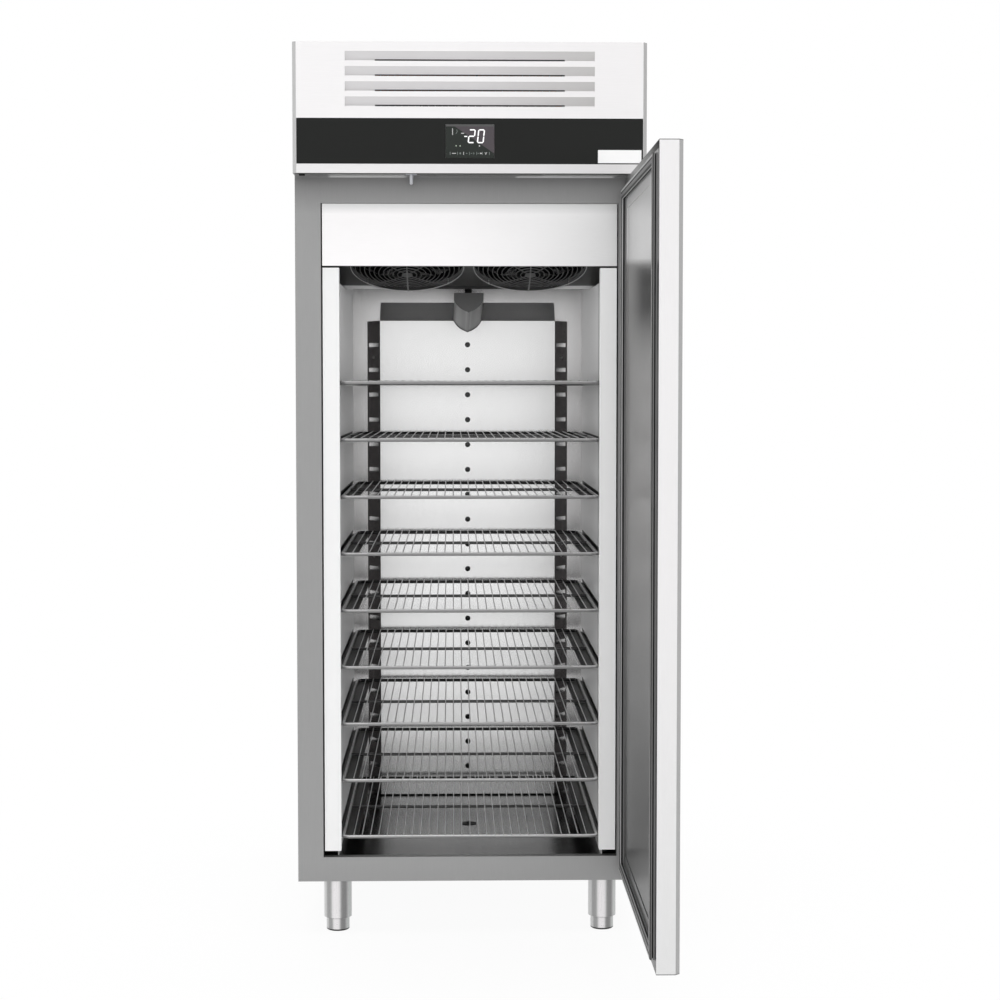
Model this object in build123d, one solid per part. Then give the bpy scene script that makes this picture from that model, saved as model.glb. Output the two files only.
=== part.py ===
from build123d import *
import math
import os

# Upright ice cream freezer with one door, modelled with its door open at a right angle.
# Sizes are in millimetres. X runs to the right seen from the front, Y runs from the front to the back and
# Z runs up. The origin is on the floor, at the centre of the closed cabinet's footprint.

# Cabinet outside
width = 790.0
height = 2025.0
body_depth = 880.0
leg_height = 125.0
header_height = 290.0
header_depth = 65.0
edge_bevel = 8.5
outer_sheet = 1.0
frame_sheet = 1.2
base_sheet = 1.5

# Walls, as margins between the outside and the door opening
side_margin = 58.0
top_margin = 61.0
sill_margin = 56.0
back_wall = 65.0
floor_drop = 9.0
frame_lip = 24.0
liner_sheet = 1.2
liner_gap = 0.5

# Legs with screw feet
leg_inset = 60.0
leg_side_inset = 87.5
sleeve_radius = 32.0
sleeve_bottom = 31.0
sleeve_flange_radius = 46.0
sleeve_flange = 3.0
foot_radius = 26.5
foot_chamfer = 2.0
foot_shank_radius = 24.0
foot_shank_length = 55.0
foot_play = 0.3

# Side racks: a sheet panel each side with a hollow post at the front
rack_sheet = 1.2
rack_inset = 33.0
rack_cover_gap = 4.5
rack_play = 1.0
post_set = 3.0
post_gap = 3.5
post_width = 37.0
post_depth = 30.0
post_lip = 14.0
post_floor_gap = 23.0

# Wire shelves
shelf_count = 9
top_shelf_drop = 405.0
lowest_shelf_rise = 53.0
shelf_side_gap = 8.5
shelf_set = 11.0
shelf_rear_gap = 29.5
shelf_bar_radius = 4.0
shelf_corner = 14.0
cross_bar_radius = 3.6
cross_bar_set = 340.0
wire_count = 29
wire_pitch = 19.15
wire_radius = 1.25
wire_sink = 0.6
wire_overhang = 1.5

# Shelf runners
runner_sheet = 1.2
runner_rear_gap = 20.0
runner_reach = 45.0
runner_rise = 5.0
runner_play = 0.5

# Air duct panel on the back wall
duct_side_gap = 38.0
duct_slant_width = 35.5
duct_depth = 50.0
duct_sheet = 1.2
duct_floor_gap = 4.0
duct_drop = 240.0
duct_hole_radius = 7.0
duct_hole_count = 18
duct_hole_drop = 62.6
lowest_hole_rise = 79.5
duct_slot_height = 11.0
duct_slot_margin = 4.5

# Evaporator cover, fan panel and fans
cover_sheet = 1.2
cover_side_gap = 3.1
cover_height = 140.5
cover_top_gap = 0.8
cover_return = 25.0
cover_tab_half_width = 20.0
cover_tab_x = 220.0
fan_tilt = 22.0
fan_panel_rear = 467.0
fan_panel_drop = 163.0
fan_panel_sheet = 1.5
fan_panel_flange = 7.5
fan_side_room = 39.0
guard_gap = 24.0
guard_rear_gap = 4.7
guard_overlap = 9.0
orifice_ring = 14.0
guard_stand = 15.0
guard_dome = 22.0
guard_wire_radius = 1.25
guard_ring_count = 12
guard_spoke_turns = (45, 90, 135, 225, 270, 315)
guard_leg_turns = (45, 135, 225, 315)
guard_spoke_radius = 1.5
guard_hub_radius = 12.0
guard_hub_sheet = 1.6
guard_leg_radius = 3.0
evaporator_motor_radius = 34.0
evaporator_motor_length = 40.0
evaporator_motor_boss_radius = 9.0
evaporator_motor_gap = 0.5
evaporator_fan_gap = 6.0

# Fan wheels
fan_hub_radius = 30.0
fan_hub_length = 30.0
fan_hub_gap = 2.0
fan_blade_count = 5
fan_blade_sheet = 2.4
fan_root_chord = 46.0
fan_tip_chord = 84.0
fan_root_pitch = 38.0
fan_tip_pitch = 22.0
shaft_radius = 4.0
shaft_play = 0.1
shaft_seat = 14.0

# Finned coils, shared by the evaporator and the condenser
fin_sheet = 1.0
end_plate_sheet = 2.0
fin_hole_play = 0.5
coil_pitch = 38.0
coil_tube_radius = 6.0
coil_turn_reach = 26.0

# Evaporator coil, heater, drip tray, trough and drains
evaporator_side_room = 87.0
evaporator_set = 585.0
evaporator_drop = 68.0
evaporator_rows = 3
evaporator_columns = 4
evaporator_fins = 25
heater_radius = 4.0
heater_drop = 68.0
tray_length = 240.0
tray_rise = 14.0
tray_lip = 10.0
tray_sheet = 1.2
tray_side_gap = 0.5
spout_radius = 9.0
spout_wall = 1.5
spout_set = 482.0
spout_reach = 18.0
trough_set = 342.0
trough_drop = 186.0
trough_half_width = 36.0
trough_straight = 17.0
trough_bilge = (24.5, 33.6)
trough_depth = 45.3
trough_keel = 2.8
trough_keel_half = 5.0
trough_slope = 4.6
trough_sheet = 1.5
notch_play = 2.0
drain_radius = 10.0
drain_wall = 1.5
drain_play = 0.5
drain_bend = 28.0
drain_in_wall = 32.0
drain_below = 20.0
back_drain_drop = 258.0
floor_drain_set = 405.0
floor_drain_flange_radius = 19.0
floor_drain_flange = 1.5

# Header
header_sheet = 1.2
louvre_half_width = 278.0
louvre_count = 4
louvre_pitch = 33.4
louvre_height = 21.8
louvre_drop = 20.8
louvre_recess = 9.0
louvre_slit = 2.6
louvre_slit_half_width = 211.5
band_side_gap = 0.5
band_height = 100.8
band_rise = 20.6
band_glass = 3.0
band_play = 0.2
screen_half_width = 54.1
screen_rise = 13.4
screen_height = 74.0
screen_proud = 0.2
screen_body_depth = 28.0
screen_body_margin = 4.0
label_inset = 52.1
label_rise = 16.8
label_width = 97.0
label_height = 29.0
label_sheet = 0.8

# Door switch under the header
switch_x = -131.0
switch_y_set = 40.0
switch_plate_width = 25.0
switch_plate_depth = 14.0
switch_plate = 1.8
switch_body_height = 34.0
plunger_radius = 4.0
plunger_drop = 23.0
plunger_tip = 2.0
plunger_tail = 8.0
plunger_play = 0.4

# Stop block under the header above the door's free edge
stop_inset = 19.3
stop_set = 37.0
stop_width = 12.5
stop_depth = 14.0
stop_height = 3.0

# Machine compartment
panel_fold = 15.0
grille_sheet = 1.2
grille_slot_width = 190.0
grille_slot_height = 8.0
grille_slot_pitch = 20.0
grille_slot_rows = 11
grille_slot_columns = 3
grille_column_pitch = 230.0
cover_slot_width = 260.0
cover_slot_pitch = 22.0
cover_slot_rows = 9
cover_slot_set = 560.0
condenser_x = -10.0
condenser_rise = 133.0
condenser_side_room = 205.0
condenser_set = 44.0
condenser_rows = 6
condenser_columns = 2
condenser_fins = 24
shroud_set = 88.0
shroud_sheet = 1.5
shroud_margin = 8.0
shroud_radius = 116.0
shroud_ring = 16.0
condenser_fan_radius = 110.0
condenser_motor_radius = 38.0
condenser_motor_length = 46.0
motor_bar_width = 26.0
motor_bar_sheet = 3.0
compressor_x = 90.0
compressor_set = 470.0
compressor_radius = 82.0
compressor_wall_height = 92.0
compressor_dome = 38.0
compressor_foot_width = 190.0
compressor_foot_depth = 130.0
compressor_foot_sheet = 3.0
grommet_radius = 13.0
grommet_height = 16.0
terminal_box = 46.0
box_side_room = 69.0
box_set = 150.0
box_width = 100.0
box_depth = 150.0
box_height = 170.0
pipe_radius = 5.0
pipe_bend = 22.0
pipe_play = 0.5
suction_inset = 25.0
suction_rise = 65.0
liquid_inset = 37.0
drier_radius = 13.0
drier_length = 110.0
inlet_inset = 95.0
inlet_rise = 55.0
inlet_radius = 10.0
inlet_flange_radius = 15.0
inlet_flange = 5.0

# Door, hinges and gasket
door_thickness = 46.0
door_gap_below_header = 9.5
door_gap_below_body = 4.5
door_hinge_bevel = 7.0
door_sheet = 1.2
door_return = 15.0
door_liner_sheet = 1.2
door_liner_play = 0.3
door_liner_recess = 2.0
door_recess_inset = 67.0
gasket_height = 11.2
gasket_seat_gap = 0.3
gasket_inset = 23.0
gasket_width = 22.0
gasket_base = 3.0
gasket_neck = 2.5
gasket_groove = 4.0
hinge_in = 26.4
hinge_ahead = 29.6
hinge_pin_radius = 5.0
hinge_pin_reach = 24.0
hinge_pin_play = 0.1
hinge_plate = 4.0
hinge_plate_width = 40.0
hinge_plate_front = 18.0
hinge_plate_under = 55.0
bush_radius = 8.5
bush_flange_radius = 12.0
bush_gap = 0.3
bush_length = 27.0
grip_from_edge = 23.0
grip_width = 62.0
grip_height = 260.0
grip_depth = 26.0
grip_wall = 2.0
grip_rise = 930.5
open_angle = 90.0

# Small fasteners
screw_radius = 4.0
screw_head = 2.2

# Places worked out from the sizes above
half_width = width / 2
front_y = -(body_depth + header_depth) / 2
body_y = front_y + header_depth
back_y = body_y + body_depth
body_top = height - header_height
opening_half = half_width - side_margin
opening_top = body_top - top_margin
opening_bottom = leg_height + sill_margin
floor_z = opening_bottom - floor_drop
inner_back_y = back_y - back_wall
foam_half = opening_half + liner_sheet
foam_floor_z = floor_z - liner_sheet
foam_top_z = opening_top + liner_sheet
foam_back_y = inner_back_y + liner_sheet
foam_front_y = body_y + frame_sheet
foam_rear_y = back_y - outer_sheet
deck_z = body_top - outer_sheet
base_z = leg_height + base_sheet
inside_half = half_width - outer_sheet
leg_x = half_width - leg_side_inset
post_outer = opening_half - post_gap
post_inner = post_outer - post_width
post_back_y = body_y + post_set + post_depth
rack_inner_half = opening_half - rack_inset
cover_bottom = opening_top - cover_height
rack_top = cover_bottom - rack_cover_gap
top_shelf_z = opening_top - top_shelf_drop
shelf_pitch = (top_shelf_z - floor_z - lowest_shelf_rise) / (shelf_count - 1)
shelf_width = 2 * (rack_inner_half - shelf_side_gap)
shelf_depth = inner_back_y - duct_depth - shelf_rear_gap - body_y - shelf_set
runner_rear_y = inner_back_y - duct_depth - runner_rear_gap
duct_foot_half_width = rack_inner_half - duct_side_gap
duct_half_width = duct_foot_half_width - duct_slant_width
duct_top = opening_top - duct_drop
duct_hole_pitch = (duct_top - duct_hole_drop - floor_z - lowest_hole_rise) / (duct_hole_count - 1)
fan_panel_rear_z = opening_top - fan_panel_drop
fan_spacing = opening_half - fan_side_room
guard_radius = (fan_spacing - guard_gap) / 2
fan_run = guard_radius + guard_rear_gap
orifice_radius = guard_radius - guard_overlap
evaporator_fan_radius = orifice_radius - evaporator_fan_gap
evaporator_width = 2 * (opening_half - evaporator_side_room)
evaporator_z = opening_top - evaporator_drop
trough_top = opening_top - trough_drop
spout_bottom = trough_top - spout_reach
back_drain_z = opening_top - back_drain_drop
band_half_width = half_width - edge_bevel - band_side_gap
band_bottom = body_top + band_rise
band_top = band_bottom + band_height
screen_bottom = band_bottom + screen_rise
label_x = band_half_width - label_inset
label_z = band_bottom + label_rise
stop_x = stop_inset - half_width
condenser_z = body_top + condenser_rise
condenser_width = 2 * (half_width - condenser_side_room)
box_x = inside_half - box_side_room
suction_x = opening_half - suction_inset
suction_z = body_top + suction_rise
liquid_x = opening_half - liquid_inset
inlet_x = half_width - inlet_inset
inlet_z = body_top + inlet_rise
pocket_y = front_y + band_glass
hinge_x = half_width - hinge_in
hinge_y = body_y - hinge_ahead
door_bottom = leg_height + door_gap_below_body
grip_z = door_bottom + grip_rise
door_top = body_top - door_gap_below_header
door_inner_y = body_y - gasket_seat_gap - gasket_height
door_outer_y = door_inner_y - door_thickness
closed_to_open = Pos(hinge_x, hinge_y, 0) * Rot(0, 0, open_angle) * Pos(-hinge_x, -hinge_y, 0)


# Shared shapes


def block(x_low, x_high, y_low, y_high, z_low, z_high):
    """A box between two corners."""
    centre = Pos((x_low + x_high) / 2, (y_low + y_high) / 2, (z_low + z_high) / 2)
    return centre * Box(x_high - x_low, y_high - y_low, z_high - z_low)


def centred_block(half, y_low, y_high, z_low, z_high):
    """A box that is even about the middle plane of the cabinet."""
    return block(-half, half, y_low, y_high, z_low, z_high)


def behind(distance):
    """The Y place at a distance behind the body's front face."""
    return body_y + distance


def mirrored(shape):
    """The same piece on the other side of the cabinet."""
    return mirror(shape, about=Plane.YZ)


def group(*shapes):
    """Separate solids kept together in one node."""
    return Compound([solid for shape in shapes for solid in shape.solids()])


def rod(start, end, radius):
    """A round bar between two points."""
    along = Vector(*end) - Vector(*start)
    place = Plane(origin=start, z_dir=along)
    return place * Cylinder(radius, along.length, align=(Align.CENTER, Align.CENTER, Align.MIN))


def bent_rod(points, bend, radius):
    """A round bar along straight runs joined by tangent arcs."""
    path = FilletPolyline(*points, radius=bend)
    return sweep(Plane(origin=path @ 0, z_dir=path % 0) * Circle(radius), path=path)


def ring(half, z_low, z_high, y_low, y_high, rim):
    """A rectangular ring standing in the XZ plane."""
    outer = centred_block(half, y_low, y_high, z_low, z_high)
    return outer - centred_block(half - rim, y_low, y_high, z_low + rim, z_high - rim)


def slots(x_list, z_list, slot_width, slot_height, y_low, y_high):
    """Cutters for a grid of slots through a standing sheet."""
    return [
        block(x - slot_width / 2, x + slot_width / 2, y_low, y_high, z - slot_height / 2, z + slot_height / 2)
        for x in x_list
        for z in z_list
    ]


def spaced(count, pitch, centre=0.0):
    """Evenly spaced places about a centre."""
    return [centre + (i - (count - 1) / 2) * pitch for i in range(count)]


# Cabinet body


def side_panels():
    inner = half_width - outer_sheet
    lower = block(inner, half_width, foam_front_y, back_y, leg_height, body_top)
    upper = block(inner, half_width, body_y, back_y, body_top, height - outer_sheet)
    fold_bottom = height - 2 * outer_sheet
    fold = block(half_width - panel_fold, half_width, body_y, back_y, fold_bottom, height - outer_sheet)
    right = lower + upper + fold
    return group(right, mirrored(right))


def back_panel():
    return centred_block(inside_half, foam_rear_y, back_y, leg_height, body_top)


def drain_cutter(radius):
    """The room that both drain pipes take through walls and floor."""
    floor_drain = rod((0, behind(floor_drain_set), floor_z + 1), (0, behind(floor_drain_set), 0), radius)
    return floor_drain + bent_rod(back_drain_points(), drain_bend, radius)


def back_drain_points():
    wall_y = inner_back_y + drain_in_wall
    bottom = leg_height - drain_below
    return [(0, inner_back_y, back_drain_z), (0, wall_y, back_drain_z), (0, wall_y, bottom)]


def bottom_panel():
    sheet = centred_block(inside_half, foam_front_y, foam_rear_y, leg_height, base_z)
    return sheet - drain_cutter(drain_radius + drain_play)


def deck_panel():
    sheet = centred_block(inside_half, foam_front_y, foam_rear_y, deck_z, body_top)
    return sheet - pipe_cutter()


def front_frame():
    face = centred_block(half_width, body_y, foam_front_y, leg_height, body_top)
    lip = centred_block(
        opening_half + frame_sheet,
        body_y,
        behind(frame_lip),
        opening_bottom - frame_sheet,
        opening_top + frame_sheet,
    )
    window = centred_block(opening_half, body_y, behind(frame_lip), opening_bottom, opening_top)
    return face + lip - window


def insulation():
    """Foam behind every wall, as six slabs that meet face to face."""
    right = block(foam_half, inside_half, foam_front_y, foam_rear_y, base_z, deck_z)
    floor = centred_block(foam_half, foam_front_y, foam_rear_y, base_z, foam_floor_z)
    sill_top = opening_bottom - frame_sheet
    sill = centred_block(foam_half, foam_front_y, behind(frame_lip), foam_floor_z, sill_top)
    ceiling = centred_block(foam_half, foam_front_y, foam_rear_y, foam_top_z, deck_z)
    back = centred_block(foam_half, foam_back_y, foam_rear_y, foam_floor_z, foam_top_z)
    drains = drain_cutter(drain_radius + drain_play)
    return group(right, mirrored(right), floor - drains, sill, ceiling - pipe_cutter(), back - drains)


def liner():
    front = behind(frame_lip) + liner_gap
    tank = centred_block(foam_half, front, foam_back_y, foam_floor_z, foam_top_z)
    inside = centred_block(opening_half, front, inner_back_y, floor_z, opening_top)
    sill = centred_block(opening_half, front, front + liner_sheet, floor_z, opening_bottom - frame_sheet)
    return tank - inside + sill - drain_cutter(drain_radius + drain_play) - pipe_cutter()


def leg_places():
    front = behind(leg_inset)
    rear = back_y - leg_inset
    return [(-leg_x, front), (leg_x, front), (-leg_x, rear), (leg_x, rear)]


def leg_sleeves():
    tube_height = leg_height - sleeve_bottom
    tube = Cylinder(sleeve_radius, tube_height, align=(Align.CENTER, Align.CENTER, Align.MIN))
    flange = Cylinder(sleeve_flange_radius, sleeve_flange, align=(Align.CENTER, Align.CENTER, Align.MIN))
    bore_height = foot_shank_length + 2 * foot_play
    bore_radius = foot_shank_radius + foot_play
    bore = Cylinder(bore_radius, bore_height, align=(Align.CENTER, Align.CENTER, Align.MIN))
    sleeve = tube + Pos(0, 0, tube_height - sleeve_flange) * flange - bore
    return group(*[Pos(x, y, sleeve_bottom) * sleeve for x, y in leg_places()])


def foot(x, y):
    body_height = sleeve_bottom - foot_play
    base = Cylinder(foot_radius, body_height, align=(Align.CENTER, Align.CENTER, Align.MIN))
    base = chamfer(base.edges().filter_by(GeomType.CIRCLE), foot_chamfer)
    shank = Cylinder(foot_shank_radius, foot_shank_length, align=(Align.CENTER, Align.CENTER, Align.MIN))
    return Pos(x, y, 0) * (base + Pos(0, 0, body_height) * shank)


# Inside of the cabinet


def side_racks():
    front = behind(post_set)
    post_bottom = floor_z + post_floor_gap
    panel_outer = rack_inner_half + rack_sheet
    face = block(post_inner, post_outer, front, front + rack_sheet, post_bottom, rack_top)
    inner_return = block(post_inner, post_inner + rack_sheet, front, post_back_y, post_bottom, rack_top)
    outer_return = block(post_outer - rack_sheet, post_outer, front, front + post_lip, post_bottom, rack_top)
    step = block(post_inner, panel_outer, post_back_y - rack_sheet, post_back_y, post_bottom, rack_top)
    panel_top = fan_panel_rear_z - fan_panel_flange - rack_play
    panel = block(rack_inner_half, panel_outer, post_back_y - rack_sheet, inner_back_y, floor_z, panel_top)
    rear_y = behind(fan_panel_rear) + rack_play
    rear_panel = block(rack_inner_half, panel_outer, rear_y, inner_back_y, floor_z, rack_top)
    right = face + inner_return + outer_return + step + panel + rear_panel
    return group(right, mirrored(right))


def shelf_heights():
    return [top_shelf_z - i * shelf_pitch for i in range(shelf_count)]


def shelf_runners():
    """Angles on the rack panels, a pair for each shelf, each with a low web and a wide ledge."""
    front = post_back_y
    rear = runner_rear_y
    right = []
    for z in shelf_heights():
        low = z - shelf_bar_radius - runner_play - runner_sheet
        high = z + runner_rise
        web = block(rack_inner_half - runner_sheet, rack_inner_half, front, rear, low, high)
        ledge = block(rack_inner_half - runner_reach, rack_inner_half, front, rear, low, low + runner_sheet)
        right.append(web + ledge)
    return group(*right, *[mirrored(runner) for runner in right])


def wire_shelf():
    """One welded shelf with its frame's middle at height 0."""
    half = shelf_width / 2 - shelf_bar_radius
    front = behind(shelf_set) + shelf_bar_radius
    rear = behind(shelf_set) + shelf_depth - shelf_bar_radius
    path = Pos(0, (front + rear) / 2, 0) * RectangleRounded(2 * half, rear - front, shelf_corner).wire()
    frame = sweep(Plane(origin=path @ 0, z_dir=path % 0) * Circle(shelf_bar_radius), path=path)
    cross_y = front + cross_bar_set
    cross_z = shelf_bar_radius - cross_bar_radius
    cross_bar = rod((-half, cross_y, cross_z), (half, cross_y, cross_z), cross_bar_radius)
    wire_z = shelf_bar_radius + wire_radius - wire_sink
    wires = [
        rod((x, front - wire_overhang, wire_z), (x, rear + wire_overhang, wire_z), wire_radius)
        for x in spaced(wire_count, wire_pitch)
    ]
    return frame.fuse(cross_bar, *wires)


def duct_hole_heights():
    return [duct_top - duct_hole_drop - i * duct_hole_pitch for i in range(duct_hole_count)]


def duct_flange_slope():
    """The side flange's direction in plan, from its outer edge to its inner edge."""
    return Vector(duct_half_width - duct_foot_half_width, -duct_depth, 0).normalized()


def air_duct_panel():
    face_y = inner_back_y - duct_depth
    bottom = floor_z + duct_floor_gap
    face = centred_block(duct_half_width, face_y, face_y + duct_sheet, bottom, duct_top)
    slant = duct_sheet * 1.3
    side_outline = Polyline(
        (duct_half_width, face_y),
        (duct_foot_half_width, inner_back_y),
        (duct_foot_half_width - slant, inner_back_y),
        (duct_half_width - slant, face_y),
        close=True,
    )
    side = Pos(0, 0, bottom) * extrude(make_face(side_outline), duct_top - bottom)
    top_outline = Polyline(
        (face_y, duct_top),
        (inner_back_y, duct_top + duct_depth),
        (inner_back_y, duct_top + duct_depth - slant),
        (face_y, duct_top - slant),
        close=True,
    )
    top_face = Plane(origin=(-duct_half_width, 0, 0), x_dir=(0, 1, 0), z_dir=(1, 0, 0)) * make_face(top_outline)
    top = extrude(top_face, 2 * duct_half_width)
    holes = [
        rod((0, face_y - 1, z), (0, face_y + duct_sheet + 1, z), duct_hole_radius) for z in duct_hole_heights()
    ]
    slot_low = duct_half_width + duct_slot_margin
    slot_high = duct_foot_half_width - duct_slot_margin
    side_slots = slots(
        [(slot_low + slot_high) / 2],
        duct_hole_heights(),
        slot_high - slot_low,
        duct_slot_height,
        face_y,
        inner_back_y,
    )
    notch = trough_solid(-notch_play)
    panel = face + side + mirrored(side) + top
    return panel - holes - side_slots - [mirrored(slot) for slot in side_slots] - notch


def evaporator_cover():
    half = opening_half - cover_side_gap
    front = behind(post_set)
    top = opening_top - cover_top_gap
    face = centred_block(half, front, front + cover_sheet, cover_bottom, top)
    bottom_return = centred_block(half, front, front + cover_return, cover_bottom, cover_bottom + cover_sheet)
    side_return = block(half - cover_sheet, half, front, front + cover_return, cover_bottom, top)
    top_return = centred_block(half, front, front + cover_return, top - cover_sheet, top)
    tab = block(
        cover_tab_x - cover_tab_half_width,
        cover_tab_x + cover_tab_half_width,
        front + cover_return - cover_sheet,
        front + cover_return,
        top - cover_sheet,
        opening_top,
    )
    return face + bottom_return + side_return + mirrored(side_return) + top_return + tab + mirrored(tab)


def tilt():
    return math.radians(fan_tilt)


def fan_place(x):
    """The plane of the fan panel's lower face at a fan's centre, facing down and forward."""
    y = behind(fan_panel_rear) - fan_run * math.cos(tilt())
    z = fan_panel_rear_z + fan_run * math.sin(tilt())
    return Plane(origin=(x, y, z), x_dir=(1, 0, 0), z_dir=(0, -math.sin(tilt()), -math.cos(tilt())))


def fan_panel():
    place = fan_place(0)
    front_run = (opening_top - place.origin.Z - fan_panel_sheet * math.cos(tilt())) / math.sin(tilt())
    sheet = block(-opening_half, opening_half, -fan_run, front_run, -fan_panel_sheet, 0)
    fan_xs = spaced(2, fan_spacing)
    for x in fan_xs:
        collar = Pos(x, 0, -orifice_ring / 2) * Cylinder(orifice_radius + fan_panel_sheet, orifice_ring)
        sheet = sheet + collar
    for x in fan_xs:
        sheet = sheet - Pos(x, 0, 0) * Cylinder(orifice_radius, 4 * orifice_ring)
    rear_y = behind(fan_panel_rear)
    flange_bottom = fan_panel_rear_z - fan_panel_flange
    flange_top = fan_panel_rear_z + fan_panel_sheet
    flange = centred_block(opening_half, rear_y - fan_panel_sheet, rear_y, flange_bottom, flange_top)
    beyond = centred_block(opening_half, rear_y, rear_y + fan_panel_flange, flange_bottom, opening_top)
    return place * sheet + flange - beyond


def guard_height(radius):
    """The guard's dome, from its rim to its hub."""
    return guard_stand + guard_dome * (1 - (radius / guard_radius) ** 2)


def fan_guard():
    """A wire guard whose mounting face is at height 0."""
    step = (guard_radius - guard_hub_radius) / (guard_ring_count - 1)
    radii = [guard_hub_radius + i * step for i in range(guard_ring_count)]
    rings = [Pos(0, 0, guard_height(r)) * Torus(r, guard_wire_radius) for r in radii]
    under = guard_wire_radius
    inner_end = (guard_hub_radius - 2, 0, guard_height(guard_hub_radius) - under)
    middle_radius = (guard_hub_radius + guard_radius) / 2
    arc = ThreePointArc(
        inner_end,
        (middle_radius, 0, guard_height(middle_radius) - under),
        (guard_radius, 0, guard_height(guard_radius) - under),
    )
    spoke = sweep(Plane(origin=arc @ 0, z_dir=arc % 0) * Circle(guard_spoke_radius), path=arc)
    leg = Pos(guard_radius, 0, guard_stand / 2) * Cylinder(guard_leg_radius, guard_stand)
    hub_z = guard_height(guard_hub_radius) + guard_wire_radius
    hub = Pos(0, 0, hub_z - guard_hub_sheet / 2) * Cylinder(guard_hub_radius, guard_hub_sheet)
    spokes = [Rot(0, 0, turn) * spoke for turn in guard_spoke_turns]
    legs = [Rot(0, 0, turn) * leg for turn in guard_leg_turns]
    return hub.fuse(*rings, *spokes, *legs)


def fan_guards():
    guard = fan_guard()
    return group(*[fan_place(x).location * guard for x in spaced(2, fan_spacing)])


def motor(radius, length):
    """A motor whose shaft end is at height 0 and whose back is above it."""
    body = Cylinder(radius, length, align=(Align.CENTER, Align.CENTER, Align.MIN))
    body = chamfer(body.edges().filter_by(GeomType.CIRCLE), foot_chamfer)
    bore = Cylinder(shaft_radius + shaft_play, 2 * (shaft_seat + shaft_play))
    return body - bore


def evaporator_motor_shaft_end():
    """The height of the motor's shaft end, with the motor just inside the guard's dome."""
    under_guard = guard_height(evaporator_motor_radius) - guard_wire_radius - 2 * guard_spoke_radius
    return under_guard - evaporator_motor_gap - evaporator_motor_length


def fan_motors():
    shaft_end = evaporator_motor_shaft_end()
    body = Pos(0, 0, shaft_end) * motor(evaporator_motor_radius, evaporator_motor_length)
    boss_low = shaft_end + evaporator_motor_length
    boss_high = guard_height(guard_hub_radius) + guard_wire_radius - guard_hub_sheet
    boss = rod((0, 0, boss_low), (0, 0, boss_high), evaporator_motor_boss_radius)
    return group(*[fan_place(x).location * (body + boss) for x in spaced(2, fan_spacing)])


def fan_wheel(radius):
    """A fan wheel under its motor's shaft end, which is at height 0."""
    hub_top = -fan_hub_gap
    hub_middle = hub_top - fan_hub_length / 2
    hub = Pos(0, 0, hub_middle) * Cylinder(fan_hub_radius, fan_hub_length)
    shaft = rod((0, 0, hub_middle), (0, 0, shaft_seat), shaft_radius)
    root = blade_section(fan_hub_radius - 4, hub_middle, fan_root_chord, fan_root_pitch)
    tip = blade_section(radius, hub_middle, fan_tip_chord, fan_tip_pitch)
    blade = loft([root, tip]) & Pos(0, 0, hub_middle) * Cylinder(radius, 4 * fan_hub_length)
    blades = [Rot(0, 0, 360 / fan_blade_count * i) * blade for i in range(fan_blade_count)]
    return hub.fuse(shaft, *blades)


def blade_section(radius, z, chord, pitch):
    place = Plane(origin=(radius, 0, z), x_dir=(0, 1, 0), z_dir=(1, 0, 0))
    return place * Rot(0, 0, pitch) * Rectangle(chord, fan_blade_sheet)


def evaporator_fan(x):
    return fan_place(x).location * Pos(0, 0, evaporator_motor_shaft_end()) * fan_wheel(evaporator_fan_radius)


def tube_places(rows, columns):
    """Tube centres of a coil, in the order that the refrigerant takes."""
    places = []
    for column, y in enumerate(spaced(columns, coil_pitch)):
        heights = spaced(rows, coil_pitch)
        if column % 2:
            heights.reverse()
        places += [(y, z) for z in heights]
    return places


def coil_fins(coil_width, rows, columns, fins, plate_below, plate_above):
    """The fins and the two end plates of a coil about its own centre."""
    places = tube_places(rows, columns)
    face_depth = columns * coil_pitch
    face_height = rows * coil_pitch
    holes = [Pos(y, z) * Circle(coil_tube_radius + fin_hole_play) for y, z in places]
    fin_face = Rectangle(face_depth, face_height) - holes
    plate_middle = (plate_above - plate_below) / 2
    plate_face = Pos(0, plate_middle) * Rectangle(face_depth, face_height + plate_above + plate_below) - holes
    standing = Plane(origin=(0, 0, 0), x_dir=(0, 1, 0), z_dir=(1, 0, 0))
    fin = extrude(standing * fin_face, fin_sheet)
    plate = extrude(standing * plate_face, end_plate_sheet)
    pitch = coil_width / (fins + 1)
    pieces = [Pos(x, 0, 0) * fin for x in spaced(fins, pitch)]
    pieces += [Pos(x, 0, 0) * plate for x in (-coil_width / 2 - end_plate_sheet, coil_width / 2)]
    return pieces


def coil_tube(coil_width, rows, columns):
    """The tube of a coil as one snake about the coil's own centre, with both ends on the right if even."""
    reach = coil_width / 2 + coil_turn_reach
    points = []
    for index, (y, z) in enumerate(tube_places(rows, columns)):
        ends = [(reach, y, z), (-reach, y, z)]
        if index % 2:
            ends.reverse()
        points += ends
    return bent_rod(points, coil_pitch / 2 - 0.1, coil_tube_radius)


def evaporator_centre():
    return Pos(0, behind(evaporator_set), evaporator_z)


def evaporator_coil():
    half_height = evaporator_rows * coil_pitch / 2
    above = opening_top - evaporator_z - half_height
    below = heater_drop + 2 * heater_radius - half_height
    pieces = coil_fins(
        evaporator_width, evaporator_rows, evaporator_columns, evaporator_fins, below, above
    )
    rods = heater_rod(heater_radius + fin_hole_play)
    return group(*[evaporator_centre() * piece - rods for piece in pieces])


def heater_rod(radius):
    z = evaporator_z - heater_drop
    reach = evaporator_width / 2 + coil_turn_reach
    half = coil_pitch
    y = behind(evaporator_set)
    points = [(-reach, y - half, z), (reach, y - half, z), (reach, y + half, z), (-reach, y + half, z)]
    return bent_rod(points, coil_turn_reach - fin_hole_play, radius)


def defrost_heater():
    return heater_rod(heater_radius)


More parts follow.
